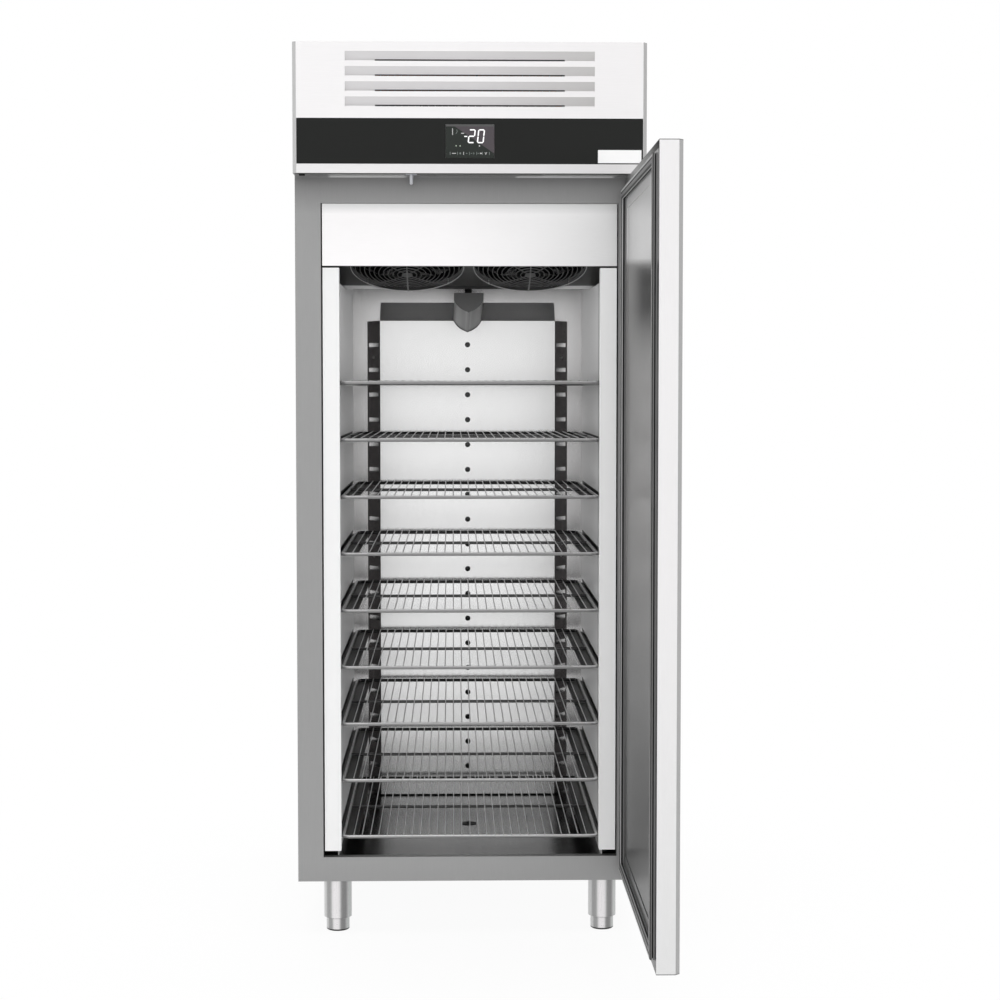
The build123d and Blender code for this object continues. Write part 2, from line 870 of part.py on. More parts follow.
def drip_tray():
    """A tray under the coil that falls towards the front, with a spout at its front edge."""
    front = behind(fan_panel_rear)
    rear = front + tray_length
    low = fan_panel_rear_z
    outline = Polyline(
        (front, low),
        (rear, low + tray_rise),
        (rear, low + tray_rise + tray_lip),
        (rear - tray_sheet, low + tray_rise + tray_lip),
        (rear - tray_sheet, low + tray_rise + tray_sheet),
        (front + tray_sheet, low + tray_sheet),
        (front + tray_sheet, low + tray_lip),
        (front, low + tray_lip),
        close=True,
    )
    half = rack_inner_half - tray_side_gap
    face = Plane(origin=(-half, 0, 0), x_dir=(0, 1, 0), z_dir=(1, 0, 0)) * make_face(outline)
    tray = extrude(face, 2 * half)
    spout_top = low + tray_sheet
    spout_y = behind(spout_set)
    outside = rod((0, spout_y, spout_top), (0, spout_y, spout_bottom), spout_radius)
    inside = rod((0, spout_y, spout_top + tray_sheet), (0, spout_y, spout_bottom), spout_radius - spout_wall)
    return tray + outside - inside


def trough_outline(inset, rise):
    """The trough's section about the X axis: upright sides, then round bilges down to a small keel."""
    half = trough_half_width - inset
    straight = -trough_straight
    bilge_x = trough_bilge[0] - 0.6 * inset
    bilge_z = 0.8 * inset - trough_bilge[1]
    keel_x = trough_keel_half
    shoulder = inset - trough_depth
    line = Polyline((-half, straight), (-half, rise), (half, rise), (half, straight))
    right = ThreePointArc((half, straight), (bilge_x, bilge_z), (keel_x, shoulder))
    keel = Polyline((keel_x, shoulder), (0, shoulder - trough_keel), (-keel_x, shoulder))
    left = ThreePointArc((-keel_x, shoulder), (-bilge_x, bilge_z), (-half, straight))
    return make_face(Curve() + [line, right, keel, left])


def trough_solid(inset, rise=0.0):
    """The trough's outside, inset or grown, as a filled bar that runs down to the back wall."""
    slope = math.radians(trough_slope)
    start = Plane(
        origin=(0, behind(trough_set), trough_top),
        x_dir=(-1, 0, 0),
        z_dir=(0, math.cos(slope), -math.sin(slope)),
    )
    length = (inner_back_y - behind(trough_set)) / math.cos(slope) + trough_half_width
    bar = extrude(start * trough_outline(inset, rise), length)
    beyond = centred_block(opening_half, inner_back_y, back_y, opening_bottom, opening_top)
    return bar - beyond


def drain_trough():
    slope = math.radians(trough_slope)
    outside = trough_solid(0)
    inside = trough_solid(trough_sheet, trough_sheet)
    shift = Pos(0, trough_sheet * math.cos(slope), -trough_sheet * math.sin(slope))
    return outside - shift * inside


def drain_pipes():
    floor_y = behind(floor_drain_set)
    bottom = leg_height - drain_below
    flange = rod((0, floor_y, floor_z), (0, floor_y, floor_z + floor_drain_flange), floor_drain_flange_radius)
    floor_tube = rod((0, floor_y, floor_z + floor_drain_flange), (0, floor_y, bottom), drain_radius)
    floor_bore = rod(
        (0, floor_y, floor_z + 2 * floor_drain_flange), (0, floor_y, bottom - 1), drain_radius - drain_wall
    )
    back_tube = bent_rod(back_drain_points(), drain_bend, drain_radius)
    back_bore = bent_rod(back_drain_points(), drain_bend, drain_radius - drain_wall)
    return group(flange + floor_tube - floor_bore, back_tube - back_bore)


# Header


def header_outline(inset):
    """The header's plan, from one side of the body round its front to the other side."""
    half = half_width - inset
    front = front_y + inset
    bevel = edge_bevel - inset * (2 - math.sqrt(2))
    points = [
        (-half, body_y),
        (-half, front + bevel),
        (-half + bevel, front),
        (half - bevel, front),
        (half, front + bevel),
        (half, body_y),
    ]
    return make_face(Polyline(*points, close=True))


def louvre_bottoms():
    first = height - louvre_drop - louvre_height
    return [first - i * louvre_pitch for i in range(louvre_count)]


def louvre(bottom):
    """A sloping blade behind one louvre window, closed at both ends."""
    top = bottom + louvre_height
    face = front_y + header_sheet
    deep = front_y + louvre_recess
    outline = Polyline(
        (front_y, top),
        (face, top),
        (deep + header_sheet, bottom + louvre_slit),
        (deep + header_sheet, bottom - header_sheet),
        (front_y, bottom - header_sheet),
        (front_y, bottom),
        (deep, bottom),
        (deep, bottom + louvre_slit),
        close=True,
    )
    place = Plane(origin=(-louvre_half_width, 0, 0), x_dir=(0, 1, 0), z_dir=(1, 0, 0))
    blade = extrude(place * make_face(outline), 2 * louvre_half_width)
    cheek = block(
        louvre_half_width,
        louvre_half_width + header_sheet,
        front_y,
        deep + header_sheet,
        bottom - header_sheet,
        top,
    )
    slit = centred_block(louvre_slit_half_width, deep - 1, deep + 2 * header_sheet, bottom, bottom + louvre_slit)
    return blade + cheek + mirrored(cheek) - slit


def header_panel():
    shell = extrude(header_outline(0), header_height)
    inside = Pos(0, 0, header_sheet) * extrude(header_outline(header_sheet), header_height - 2 * header_sheet)
    panel = Pos(0, 0, body_top) * (shell - inside)
    pocket_half = band_half_width + band_play
    pocket_low = band_bottom - band_play
    pocket_high = band_top + band_play
    window = centred_block(pocket_half, front_y - 1, pocket_y, pocket_low, pocket_high)
    pocket = centred_block(
        pocket_half + header_sheet,
        front_y + header_sheet / 2,
        pocket_y + header_sheet,
        pocket_low - header_sheet,
        pocket_high + header_sheet,
    )
    panel = (panel + (pocket & Pos(0, 0, body_top) * shell)) - window
    louvre_windows = [
        centred_block(louvre_half_width, front_y - 1, front_y + header_sheet, bottom, bottom + louvre_height)
        for bottom in louvre_bottoms()
    ]
    panel = (panel - louvre_windows).fuse(*[louvre(bottom) for bottom in louvre_bottoms()])
    module = centred_block(
        screen_half_width - screen_body_margin + band_play,
        front_y,
        pocket_y + screen_body_depth,
        screen_bottom + screen_body_margin - band_play,
        screen_bottom + screen_height - screen_body_margin + band_play,
    )
    return panel - module - plunger_bore()


def control_glass():
    glass = centred_block(band_half_width, front_y, pocket_y, band_bottom, band_top)
    window = centred_block(
        screen_half_width + band_play,
        front_y,
        pocket_y,
        screen_bottom - band_play,
        screen_bottom + screen_height + band_play,
    )
    return glass - window


def display_module():
    screen_top = screen_bottom + screen_height
    lens = centred_block(screen_half_width, front_y - screen_proud, pocket_y, screen_bottom, screen_top)
    body = centred_block(
        screen_half_width - screen_body_margin,
        pocket_y,
        pocket_y + screen_body_depth,
        screen_bottom + screen_body_margin,
        screen_top - screen_body_margin,
    )
    return lens + body


def label_plate():
    plate = block(
        label_x - label_width / 2,
        label_x + label_width / 2,
        front_y - label_sheet,
        front_y,
        label_z - label_height / 2,
        label_z + label_height / 2,
    )
    return plate


def plunger_bore():
    y = behind(-switch_y_set)
    bottom = body_top - switch_plate - 1
    top = body_top + header_sheet + switch_body_height - 4
    return rod((switch_x, y, bottom), (switch_x, y, top), plunger_radius + plunger_play)


def door_switch():
    """A switch body inside the header with its seat plate under the header's lower sheet."""
    y = behind(-switch_y_set)
    half_x = switch_plate_width / 2
    half_y = switch_plate_depth / 2
    floor = body_top + header_sheet
    plate = block(
        switch_x - half_x, switch_x + half_x, y - half_y, y + half_y, body_top - switch_plate, body_top
    )
    body = block(
        switch_x - half_x, switch_x + half_x, y - half_y, y + half_y, floor, floor + switch_body_height
    )
    return group(plate - plunger_bore(), body - plunger_bore())


def switch_plunger():
    y = behind(-switch_y_set)
    bottom = body_top - plunger_drop
    top = body_top + header_sheet + plunger_tail
    stem = rod((switch_x, y, bottom), (switch_x, y, top), plunger_radius)
    lowest = stem.edges().filter_by(GeomType.CIRCLE).sort_by(Axis.Z)[0]
    return chamfer(lowest, plunger_tip)


# Machine compartment


def top_cover():
    sheet = centred_block(half_width, body_y, back_y, height - outer_sheet, height)
    cuts = []
    for y in spaced(cover_slot_rows, cover_slot_pitch, behind(cover_slot_set)):
        cut = block(-cover_slot_width / 2, cover_slot_width / 2, y - 4, y + 4, height - 2 * outer_sheet, height + 1)
        cuts.append(cut)
    return sheet - cuts


def rear_grille():
    top = height - 2 * outer_sheet
    sheet = centred_block(inside_half, back_y - grille_sheet, back_y, body_top, top)
    xs = spaced(grille_slot_columns, grille_column_pitch)
    zs = spaced(grille_slot_rows, grille_slot_pitch, (body_top + top) / 2)
    cuts = slots(xs, zs, grille_slot_width, grille_slot_height, back_y - 2 * grille_sheet, back_y + 1)
    inlet_hole = rod((inlet_x, back_y - 4, inlet_z), (inlet_x, back_y + 4, inlet_z), inlet_radius + pipe_play)
    return sheet - cuts - inlet_hole


def power_inlet():
    """A cable gland with its nuts on both sides of the grille and an empty cable hole."""
    stem = rod((inlet_x, back_y - 14, inlet_z), (inlet_x, back_y + 12, inlet_z), inlet_radius)
    outer_nut = rod((inlet_x, back_y, inlet_z), (inlet_x, back_y + inlet_flange, inlet_z), inlet_flange_radius)
    inner_y = back_y - grille_sheet
    inner_nut = rod((inlet_x, inner_y - inlet_flange, inlet_z), (inlet_x, inner_y, inlet_z), inlet_flange_radius)
    bore = rod((inlet_x, back_y - 20, inlet_z), (inlet_x, back_y + 20, inlet_z), inlet_radius / 2)
    return stem + outer_nut + inner_nut - bore


def condenser_centre():
    return Pos(condenser_x, behind(condenser_set), condenser_z)


def condenser_coil():
    below = condenser_z - condenser_rows * coil_pitch / 2 - body_top
    pieces = coil_fins(condenser_width, condenser_rows, condenser_columns, condenser_fins, below, 0)
    return group(*[condenser_centre() * piece for piece in pieces])


def condenser_fan_plane():
    """The shroud's rear face at the fan's centre, facing the cabinet's back."""
    return Plane(
        origin=(condenser_x, behind(shroud_set) + shroud_sheet, condenser_z),
        x_dir=(1, 0, 0),
        z_dir=(0, 1, 0),
    )


def condenser_motor_front():
    return shroud_ring + fan_hub_gap + fan_hub_length / 2


def fan_shroud():
    half = condenser_width / 2 + shroud_margin
    top = condenser_z + condenser_rows * coil_pitch / 2 + shroud_margin
    rear = behind(shroud_set) + shroud_sheet
    front = behind(condenser_set) + condenser_columns * coil_pitch / 2 + 1
    left = condenser_x - half
    right = condenser_x + half
    face = block(left, right, behind(shroud_set), rear, body_top, top)
    cheek = block(right - shroud_sheet, right, front, rear, body_top, top)
    other_cheek = block(left, left + shroud_sheet, front, rear, body_top, top)
    place = condenser_fan_plane()
    collar = Pos(0, 0, shroud_ring / 2) * Cylinder(shroud_radius + shroud_sheet, shroud_ring)
    hole = Cylinder(shroud_radius, 4 * shroud_ring)
    bar_y = condenser_motor_front() + condenser_motor_length
    arm_x = shroud_radius + motor_bar_width / 2
    bar = block(-arm_x, arm_x, -motor_bar_width / 2, motor_bar_width / 2, bar_y, bar_y + motor_bar_sheet)
    arm = block(arm_x - motor_bar_sheet, arm_x, -motor_bar_width / 2, motor_bar_width / 2, 0, bar_y)
    plate = face + cheek + other_cheek + place * collar - place * hole
    return plate + place * (bar + arm + mirrored(arm))


def condenser_motor():
    place = condenser_fan_plane()
    return place * Pos(0, 0, condenser_motor_front()) * motor(condenser_motor_radius, condenser_motor_length)


def condenser_fan():
    place = condenser_fan_plane()
    return place * Pos(0, 0, condenser_motor_front()) * fan_wheel(condenser_fan_radius)


def compressor():
    """A hermetic compressor's pot with its foot plate and terminal box."""
    y = behind(compressor_set)
    foot_bottom = body_top + grommet_height
    wall_bottom = foot_bottom + compressor_dome
    pot = Pos(compressor_x, y, wall_bottom + compressor_wall_height / 2) * Cylinder(
        compressor_radius, compressor_wall_height
    )
    dome_height = compressor_dome - compressor_foot_sheet
    domes = []
    for z, sense in ((wall_bottom, -1), (wall_bottom + compressor_wall_height, 1)):
        profile = make_face(
            Curve()
            + [
                Line((0, 0), (compressor_radius, 0)),
                ThreePointArc(
                    (compressor_radius, 0),
                    (compressor_radius * 0.72, sense * dome_height * 0.7),
                    (0, sense * dome_height),
                ),
                Line((0, sense * dome_height), (0, 0)),
            ]
        )
        domes.append(Pos(compressor_x, y, z) * revolve(Plane.XZ * profile, Axis.Z))
    foot = Pos(compressor_x, y, foot_bottom + compressor_foot_sheet / 2) * Box(
        compressor_foot_width, compressor_foot_depth, compressor_foot_sheet
    )
    neck = Pos(compressor_x, y, (foot_bottom + wall_bottom) / 2) * Cylinder(
        compressor_radius / 2, wall_bottom - foot_bottom
    )
    box_x_low = compressor_x - compressor_radius - terminal_box / 2
    terminals = block(
        box_x_low,
        compressor_x,
        y - terminal_box / 2,
        y + terminal_box / 2,
        wall_bottom + 20,
        wall_bottom + 20 + terminal_box,
    )
    return pot.fuse(*domes, foot, neck, terminals)


def grommet_places():
    y = behind(compressor_set)
    half_x = compressor_foot_width / 2 - grommet_radius
    half_y = compressor_foot_depth / 2 - grommet_radius
    return [(compressor_x + sx * half_x, y + sy * half_y) for sx in (-1, 1) for sy in (-1, 1)]


def rubber_mounts():
    """Compressor grommets, and a stop block under the header."""
    grommets = [
        rod((x, y, body_top), (x, y, body_top + grommet_height), grommet_radius) for x, y in grommet_places()
    ]
    stop = Pos(stop_x, behind(-stop_set), body_top - stop_height / 2) * Box(stop_width, stop_depth, stop_height)
    return group(*grommets, stop)


def electrical_box():
    body = block(
        box_x - box_width / 2,
        box_x + box_width / 2,
        behind(box_set) - box_depth / 2,
        behind(box_set) + box_depth / 2,
        body_top,
        body_top + box_height,
    )
    return fillet(body.edges().filter_by(Axis.Z), 6)


def condenser_end(row_sign, column_sign):
    """An end of the condenser's tube on its right."""
    y = behind(condenser_set) + column_sign * coil_pitch * (condenser_columns - 1) / 2
    z = condenser_z + row_sign * coil_pitch * (condenser_rows - 1) / 2
    return (condenser_x + condenser_width / 2 + coil_turn_reach + pipe_play, y, z)


def evaporator_end(column_sign):
    y = behind(evaporator_set) + column_sign * coil_pitch * (evaporator_columns - 1) / 2
    z = evaporator_z - coil_pitch * (evaporator_rows - 1) / 2
    return (evaporator_width / 2 + coil_turn_reach + pipe_play, y, z)


def suction_points():
    x, y, z = evaporator_end(1)
    compressor_y = behind(compressor_set)
    end_x = compressor_x + compressor_radius + pipe_play
    return [
        (x, y, z),
        (suction_x, y, z),
        (suction_x, y, suction_z),
        (suction_x, compressor_y, suction_z),
        (end_x, compressor_y, suction_z),
    ]


def liquid_points():
    x, y, z = condenser_end(-1, -1)
    end_x, end_y, end_z = evaporator_end(-1)
    return [
        (x, y, z),
        (x + 2 * pipe_bend, y, z),
        (x + 2 * pipe_bend, end_y, z),
        (liquid_x, end_y, z),
        (liquid_x, end_y, end_z),
        (end_x, end_y, end_z),
    ]


def pipe_cutter():
    """The room that the suction and liquid pipes take through the ceiling."""
    x, y, z = suction_points()[2]
    suction = rod((x, y, opening_top - 5), (x, y, body_top + 5), pipe_radius + pipe_play)
    x, y, z = liquid_points()[4]
    liquid = rod((x, y, opening_top - 5), (x, y, body_top + 5), pipe_radius + pipe_play)
    return suction + liquid


def refrigerant_pipes():
    evaporator_tube = evaporator_centre() * coil_tube(evaporator_width, evaporator_rows, evaporator_columns)
    condenser_tube = condenser_centre() * coil_tube(condenser_width, condenser_rows, condenser_columns)
    suction = bent_rod(suction_points(), pipe_bend / 2, pipe_radius)
    liquid = bent_rod(liquid_points(), pipe_bend / 2, pipe_radius)
    drier_x, drier_y, drier_z = liquid_points()[2]
    drier_end = behind(condenser_set) + 2 * drier_length
    drier = rod((drier_x, drier_end - drier_length, drier_z), (drier_x, drier_end, drier_z), drier_radius)
    end = condenser_end(1, 1)
    start = (compressor_x, behind(compressor_set) - compressor_radius - pipe_play, condenser_z)
    discharge = bent_rod(
        [
            start,
            (compressor_x, start[1] - 2 * pipe_bend, condenser_z),
            (end[0] + pipe_bend, start[1] - 2 * pipe_bend, condenser_z),
            (end[0] + pipe_bend, end[1], condenser_z),
            (end[0] + pipe_bend, end[1], end[2]),
            end,
        ],
        pipe_bend / 2,
        pipe_radius,
    )
    return group(evaporator_tube, condenser_tube, suction, liquid + drier, discharge)


# Door and hinges


def door_profile(inset):
    """The closed door's plan with its two outer bevels and the bevel that clears the body as it swings."""
    outer = edge_bevel - inset * (2 - math.sqrt(2))
    inner = door_hinge_bevel - inset * (2 - math.sqrt(2))
    half = half_width - inset
    front = door_outer_y + inset
    rear = door_inner_y - inset
    points = [
        (-half, rear),
        (-half, front + outer),
        (-half + outer, front),
        (half - outer, front),
        (half, front + outer),
        (half, rear - inner),
        (half - inner, rear),
    ]
    return make_face(Polyline(*points, close=True))


def grip_cutter(inset):
    x_low = -half_width + grip_from_edge
    return block(
        x_low + inset,
        x_low + grip_width - inset,
        door_outer_y - 1,
        door_outer_y + grip_depth - inset,
        grip_z - grip_height / 2 + inset,
        grip_z + grip_height / 2 - inset,
    )


def bush_cutter():
    low = rod((hinge_x, hinge_y, door_bottom - 1), (hinge_x, hinge_y, door_bottom + bush_length), bush_radius)
    high = rod((hinge_x, hinge_y, door_top + 1), (hinge_x, hinge_y, door_top - bush_length), bush_radius)
    return low + high


def door_shell():
    door_height = door_top - door_bottom
    outside = Pos(0, 0, door_bottom) * extrude(door_profile(0), door_height)
    hollow = extrude(door_profile(door_sheet), door_height - 2 * door_sheet)
    inside = Pos(0, 0, door_bottom + door_sheet) * hollow
    mouth = centred_block(
        half_width - door_return,
        door_inner_y - 2 * door_sheet,
        door_inner_y + 1,
        door_bottom + door_return,
        door_top - door_return,
    )
    shell = outside - inside - mouth - grip_cutter(0) - bush_cutter()
    return closed_to_open * shell


def door_insulation():
    side = door_sheet
    low = door_bottom + door_sheet
    high = door_top - door_sheet
    front = door_outer_y + door_sheet
    rear = door_inner_y - door_liner_sheet - door_liner_recess
    half = half_width - side - edge_bevel
    slab = centred_block(half, front, rear, low, high)
    return closed_to_open * (slab - grip_cutter(0) - bush_cutter())


def door_liner():
    half = half_width - door_return - door_liner_play
    low = door_bottom + door_return + door_liner_play
    high = door_top - door_return - door_liner_play
    rear = door_inner_y
    sunk_half = half_width - door_recess_inset
    sunk_low = door_bottom + door_recess_inset
    sunk_high = door_top - door_recess_inset
    sheet = centred_block(half, rear - door_liner_sheet, rear, low, high)
    dish = centred_block(
        sunk_half + door_liner_sheet,
        rear - door_liner_sheet - door_liner_recess,
        rear - door_liner_sheet / 2,
        sunk_low - door_liner_sheet,
        sunk_high + door_liner_sheet,
    )
    hollow = centred_block(sunk_half, rear - door_liner_recess, rear, sunk_low, sunk_high)
    return closed_to_open * (sheet + dish - hollow)


def door_gasket():
    """A magnetic gasket: a base strip, a narrow neck and a wider head."""
    half = half_width - gasket_inset
    low = door_bottom + gasket_inset
    high = door_top - gasket_inset
    base_y = door_inner_y + gasket_base
    neck_y = base_y + gasket_neck
    head_y = door_inner_y + gasket_height
    base = ring(half, low, high, door_inner_y, base_y, gasket_width)
    groove = gasket_groove
    neck = ring(half - groove, low + groove, high - groove, base_y, neck_y, gasket_width - 2 * groove)
    head = ring(half, low, high, neck_y, head_y, gasket_width)
    return closed_to_open * (base + neck + head)


def door_grip():
    """A moulded tub let into the door's outer face near its free edge."""
    tub = grip_cutter(0) - grip_cutter(grip_wall)
    outside_only = block(-half_width, half_width, door_outer_y - 2, door_outer_y, door_bottom, door_top)
    return closed_to_open * (tub - outside_only)


def hinge_bushes():
    """Flanged bushes in the door's lower and upper edges."""
    bore_radius = hinge_pin_radius + hinge_pin_play
    low_face = leg_height + bush_gap
    low_end = door_bottom + bush_length
    high_face = body_top - hinge_plate - bush_gap
    high_end = door_top - bush_length
    pieces = []
    for face, edge, end in ((low_face, door_bottom, low_end), (high_face, door_top, high_end)):
        sleeve = rod((hinge_x, hinge_y, edge), (hinge_x, hinge_y, end), bush_radius)
        flange = rod((hinge_x, hinge_y, face), (hinge_x, hinge_y, edge), bush_flange_radius)
        bore = rod((hinge_x, hinge_y, face * 2 - edge), (hinge_x, hinge_y, end), bore_radius)
        pieces.append(sleeve + flange - bore)
    return group(*pieces)


def hinge_brackets():
    """A plate above the door and one below it, each with its pin."""
    x_low = half_width - hinge_plate_width
    y_front = hinge_y - hinge_plate_front
    high = body_top - hinge_plate
    upper = block(x_low, half_width, y_front, body_y, high, body_top)
    lower_y = behind(hinge_plate_under)
    lower = block(x_low, half_width, y_front, lower_y, leg_height - hinge_plate, leg_height)
    upper_pin = rod((hinge_x, hinge_y, high), (hinge_x, hinge_y, door_top - hinge_pin_reach), hinge_pin_radius)
    lower_pin = rod(
        (hinge_x, hinge_y, leg_height), (hinge_x, hinge_y, door_bottom + hinge_pin_reach), hinge_pin_radius
    )
    leg_y = behind(leg_inset)
    sleeve_room = rod((leg_x, leg_y, 0), (leg_x, leg_y, leg_height), sleeve_flange_radius + 1)
    return group(upper + upper_pin, lower + lower_pin - sleeve_room)


def screws():
    """Pan heads on the top cover, the rear grille and the air duct panel."""
    heads = []
    cover_y = (body_y + panel_fold / 2, 0, back_y - panel_fold / 2)
    for x in (-half_width + panel_fold / 2, half_width - panel_fold / 2):
        heads += [rod((x, y, height), (x, y, height + screw_head), screw_radius) for y in cover_y]
    for x in (-inside_half + panel_fold, inside_half - panel_fold):
        for z in (body_top + panel_fold, (body_top + height) / 2, height - 2 * panel_fold):
            heads.append(rod((x, back_y, z), (x, back_y + screw_head, z), screw_radius))
    along = duct_flange_slope()
    outward = Vector(-along.Y, along.X, 0)
    middle_x = (duct_half_width + duct_foot_half_width) / 2
    middle_y = inner_back_y - duct_depth / 2
    heights = duct_hole_heights()
    for index in (1, duct_hole_count // 2, duct_hole_count - 2):
        z = (heights[index] + heights[index - 1]) / 2
        start = Vector(middle_x, middle_y, z)
        head = rod(tuple(start), tuple(start + outward * screw_head), screw_radius)
        heads += [head, mirrored(head)]
    return group(*heads)


# Export


def main():
    os.makedirs("parts", exist_ok=True)
    nodes = {
        "side_panels": side_panels(),
        "back_panel": back_panel(),
        "bottom_panel": bottom_panel(),
        "deck_panel": deck_panel(),
        "front_frame": front_frame(),
        "insulation": insulation(),
        "liner": liner(),
        "leg_sleeves": leg_sleeves(),
        "side_racks": side_racks(),
        "shelf_runners": shelf_runners(),
        "air_duct_panel": air_duct_panel(),
        "evaporator_cover": evaporator_cover(),
        "fan_panel": fan_panel(),
        "fan_guards": fan_guards(),
        "fan_motors": fan_motors(),
        "evaporator_coil": evaporator_coil(),
        "defrost_heater": defrost_heater(),
        "drip_tray": drip_tray(),
        "drain_trough": drain_trough(),
        "drain_pipes": drain_pipes(),
        "header_panel": header_panel(),
        "control_glass": control_glass(),
        "display_module": display_module(),
        "label_plate": label_plate(),
        "door_switch": door_switch(),
        "switch_plunger": switch_plunger(),
        "top_cover": top_cover(),
        "rear_grille": rear_grille(),
        "power_inlet": power_inlet(),
        "condenser_coil": condenser_coil(),
        "fan_shroud": fan_shroud(),
        "condenser_motor": condenser_motor(),
        "condenser_fan": condenser_fan(),
        "compressor": compressor(),
        "rubber_mounts": rubber_mounts(),
        "electrical_box": electrical_box(),
        "refrigerant_pipes": refrigerant_pipes(),
        "door_shell": door_shell(),
        "door_insulation": door_insulation(),
        "door_liner": door_liner(),
        "door_gasket": door_gasket(),
        "door_grip": door_grip(),
        "hinge_bushes": hinge_bushes(),
        "hinge_brackets": hinge_brackets(),
        "screws": screws(),
    }
    for side, x in zip(("left", "right"), spaced(2, fan_spacing)):
        nodes[f"evaporator_fan_{side}"] = evaporator_fan(x)
    for index, (x, y) in enumerate(leg_places(), 1):
        nodes[f"foot_{index}"] = foot(x, y)
    shelf = wire_shelf()
    for index, z in enumerate(shelf_heights(), 1):
        nodes[f"shelf_{index}"] = Pos(0, 0, z) * shelf
    for name, shape in nodes.items():
        export_step(shape, f"parts/{name}.step")


main()
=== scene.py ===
import math

import bpy
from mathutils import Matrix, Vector


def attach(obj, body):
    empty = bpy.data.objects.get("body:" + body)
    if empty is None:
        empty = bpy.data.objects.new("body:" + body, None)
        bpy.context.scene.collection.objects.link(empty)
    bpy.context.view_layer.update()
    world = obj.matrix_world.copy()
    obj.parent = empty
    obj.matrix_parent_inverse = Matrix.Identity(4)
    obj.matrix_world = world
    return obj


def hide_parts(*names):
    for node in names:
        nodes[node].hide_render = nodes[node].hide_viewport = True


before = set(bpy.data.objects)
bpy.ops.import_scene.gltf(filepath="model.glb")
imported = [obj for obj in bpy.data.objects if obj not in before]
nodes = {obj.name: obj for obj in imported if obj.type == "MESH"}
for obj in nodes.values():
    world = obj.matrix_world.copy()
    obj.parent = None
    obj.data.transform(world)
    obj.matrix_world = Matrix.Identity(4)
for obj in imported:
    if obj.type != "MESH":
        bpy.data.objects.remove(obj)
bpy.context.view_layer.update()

MM = 0.001

# Places that the scene shares with the cabinet, in millimetres
HALF_WIDTH = 395.0
FRONT_Y = -472.5
HINGE = (368.6, -437.1)
DOOR_INNER_Y = -419.0
DOOR_BOTTOM = 129.5
DOOR_TOP = 1725.5


# Node helpers


materials = {}


def new_material(name):
    """Adds a material, and gives its node tree, its surface shader and its output."""
    material = bpy.data.materials.new(name)
    material.use_nodes = True
    tree = material.node_tree
    tree.nodes.clear()
    shader = tree.nodes.new("ShaderNodeBsdfPrincipled")
    output = tree.nodes.new("ShaderNodeOutputMaterial")
    tree.links.new(shader.outputs["BSDF"], output.inputs["Surface"])
    materials[name] = material
    return tree, shader, output


def object_coordinates(tree, scale=(1.0, 1.0, 1.0)):
    coordinates = tree.nodes.new("ShaderNodeTexCoord")
    mapping = tree.nodes.new("ShaderNodeMapping")
    mapping.inputs["Scale"].default_value = scale
    tree.links.new(coordinates.outputs["Object"], mapping.inputs["Vector"])
    return mapping.outputs["Vector"]


def noise(tree, vector, scale, detail, roughness=0.55):
    node = tree.nodes.new("ShaderNodeTexNoise")
    node.inputs["Scale"].default_value = scale
    node.inputs["Detail"].default_value = detail
    node.inputs["Roughness"].default_value = roughness
    tree.links.new(vector, node.inputs["Vector"])
    return node.outputs["Fac"]


def map_range(tree, value, from_low, from_high, to_low=0.0, to_high=1.0):
    node = tree.nodes.new("ShaderNodeMapRange")
    node.inputs["From Min"].default_value = from_low
    node.inputs["From Max"].default_value = from_high
    node.inputs["To Min"].default_value = to_low
    node.inputs["To Max"].default_value = to_high
    tree.links.new(value, node.inputs["Value"])
    return node.outputs["Result"]


def rise(tree, value, start, end):
    """Rises from 0 at the start to 1 at the end, whichever of the two is larger."""
    if start < end:
        return map_range(tree, value, start, end)
    return map_range(tree, value, end, start, 1.0, 0.0)


def spread(tree, value, low=0.0, high=1.0):
    """Maps a noise value onto a range."""
    return map_range(tree, value, 0.3, 0.7, low, high)


def combined(tree, operation, first, second):
    node = tree.nodes.new("ShaderNodeMath")
    node.operation = operation
    tree.links.new(first, node.inputs[0])
    tree.links.new(second, node.inputs[1])
    return node.outputs[0]


def dot_product(tree, vector, direction):
    node = tree.nodes.new("ShaderNodeVectorMath")
    node.operation = "DOT_PRODUCT"
    tree.links.new(vector, node.inputs[0])
    node.inputs[1].default_value = direction
    return node.outputs["Value"]


def object_parts(tree):
    """The X, Y and Z of a point of the object."""
    parts = tree.nodes.new("ShaderNodeSeparateXYZ")
    tree.links.new(object_coordinates(tree), parts.inputs["Vector"])
    return parts.outputs


def mix_colour(tree, factor, first, second, blend="MIX"):
    """Mixes two colours, each a colour or a socket, by a socket."""
    node = tree.nodes.new("ShaderNodeMix")
    node.data_type = "RGBA"
    node.blend_type = blend
    tree.links.new(factor, node.inputs[0])
    for socket, value in ((node.inputs[6], first), (node.inputs[7], second)):
        if isinstance(value, tuple):
            socket.default_value = (*value, 1.0)
        else:
            tree.links.new(value, socket)
    return node.outputs[2]


def mix_surface(tree, factor, first, second, output):
    blend = tree.nodes.new("ShaderNodeMixShader")
    tree.links.new(factor, blend.inputs["Fac"])
    tree.links.new(first, blend.inputs[1])
    tree.links.new(second, blend.inputs[2])
    tree.links.new(blend.outputs["Shader"], output.inputs["Surface"])


def rays_of(tree, *kinds):
    """1 for these kinds of ray, and 0 for all others."""
    rays = tree.nodes.new("ShaderNodeLightPath")
    share = rays.outputs[kinds[0]]
    for kind in kinds[1:]:
        share = combined(tree, "MAXIMUM", share, rays.outputs[kind])
    return share


def shade(colour, share):
    return tuple(channel * share for channel in colour)


def grey(level):
    return (level, level, level)


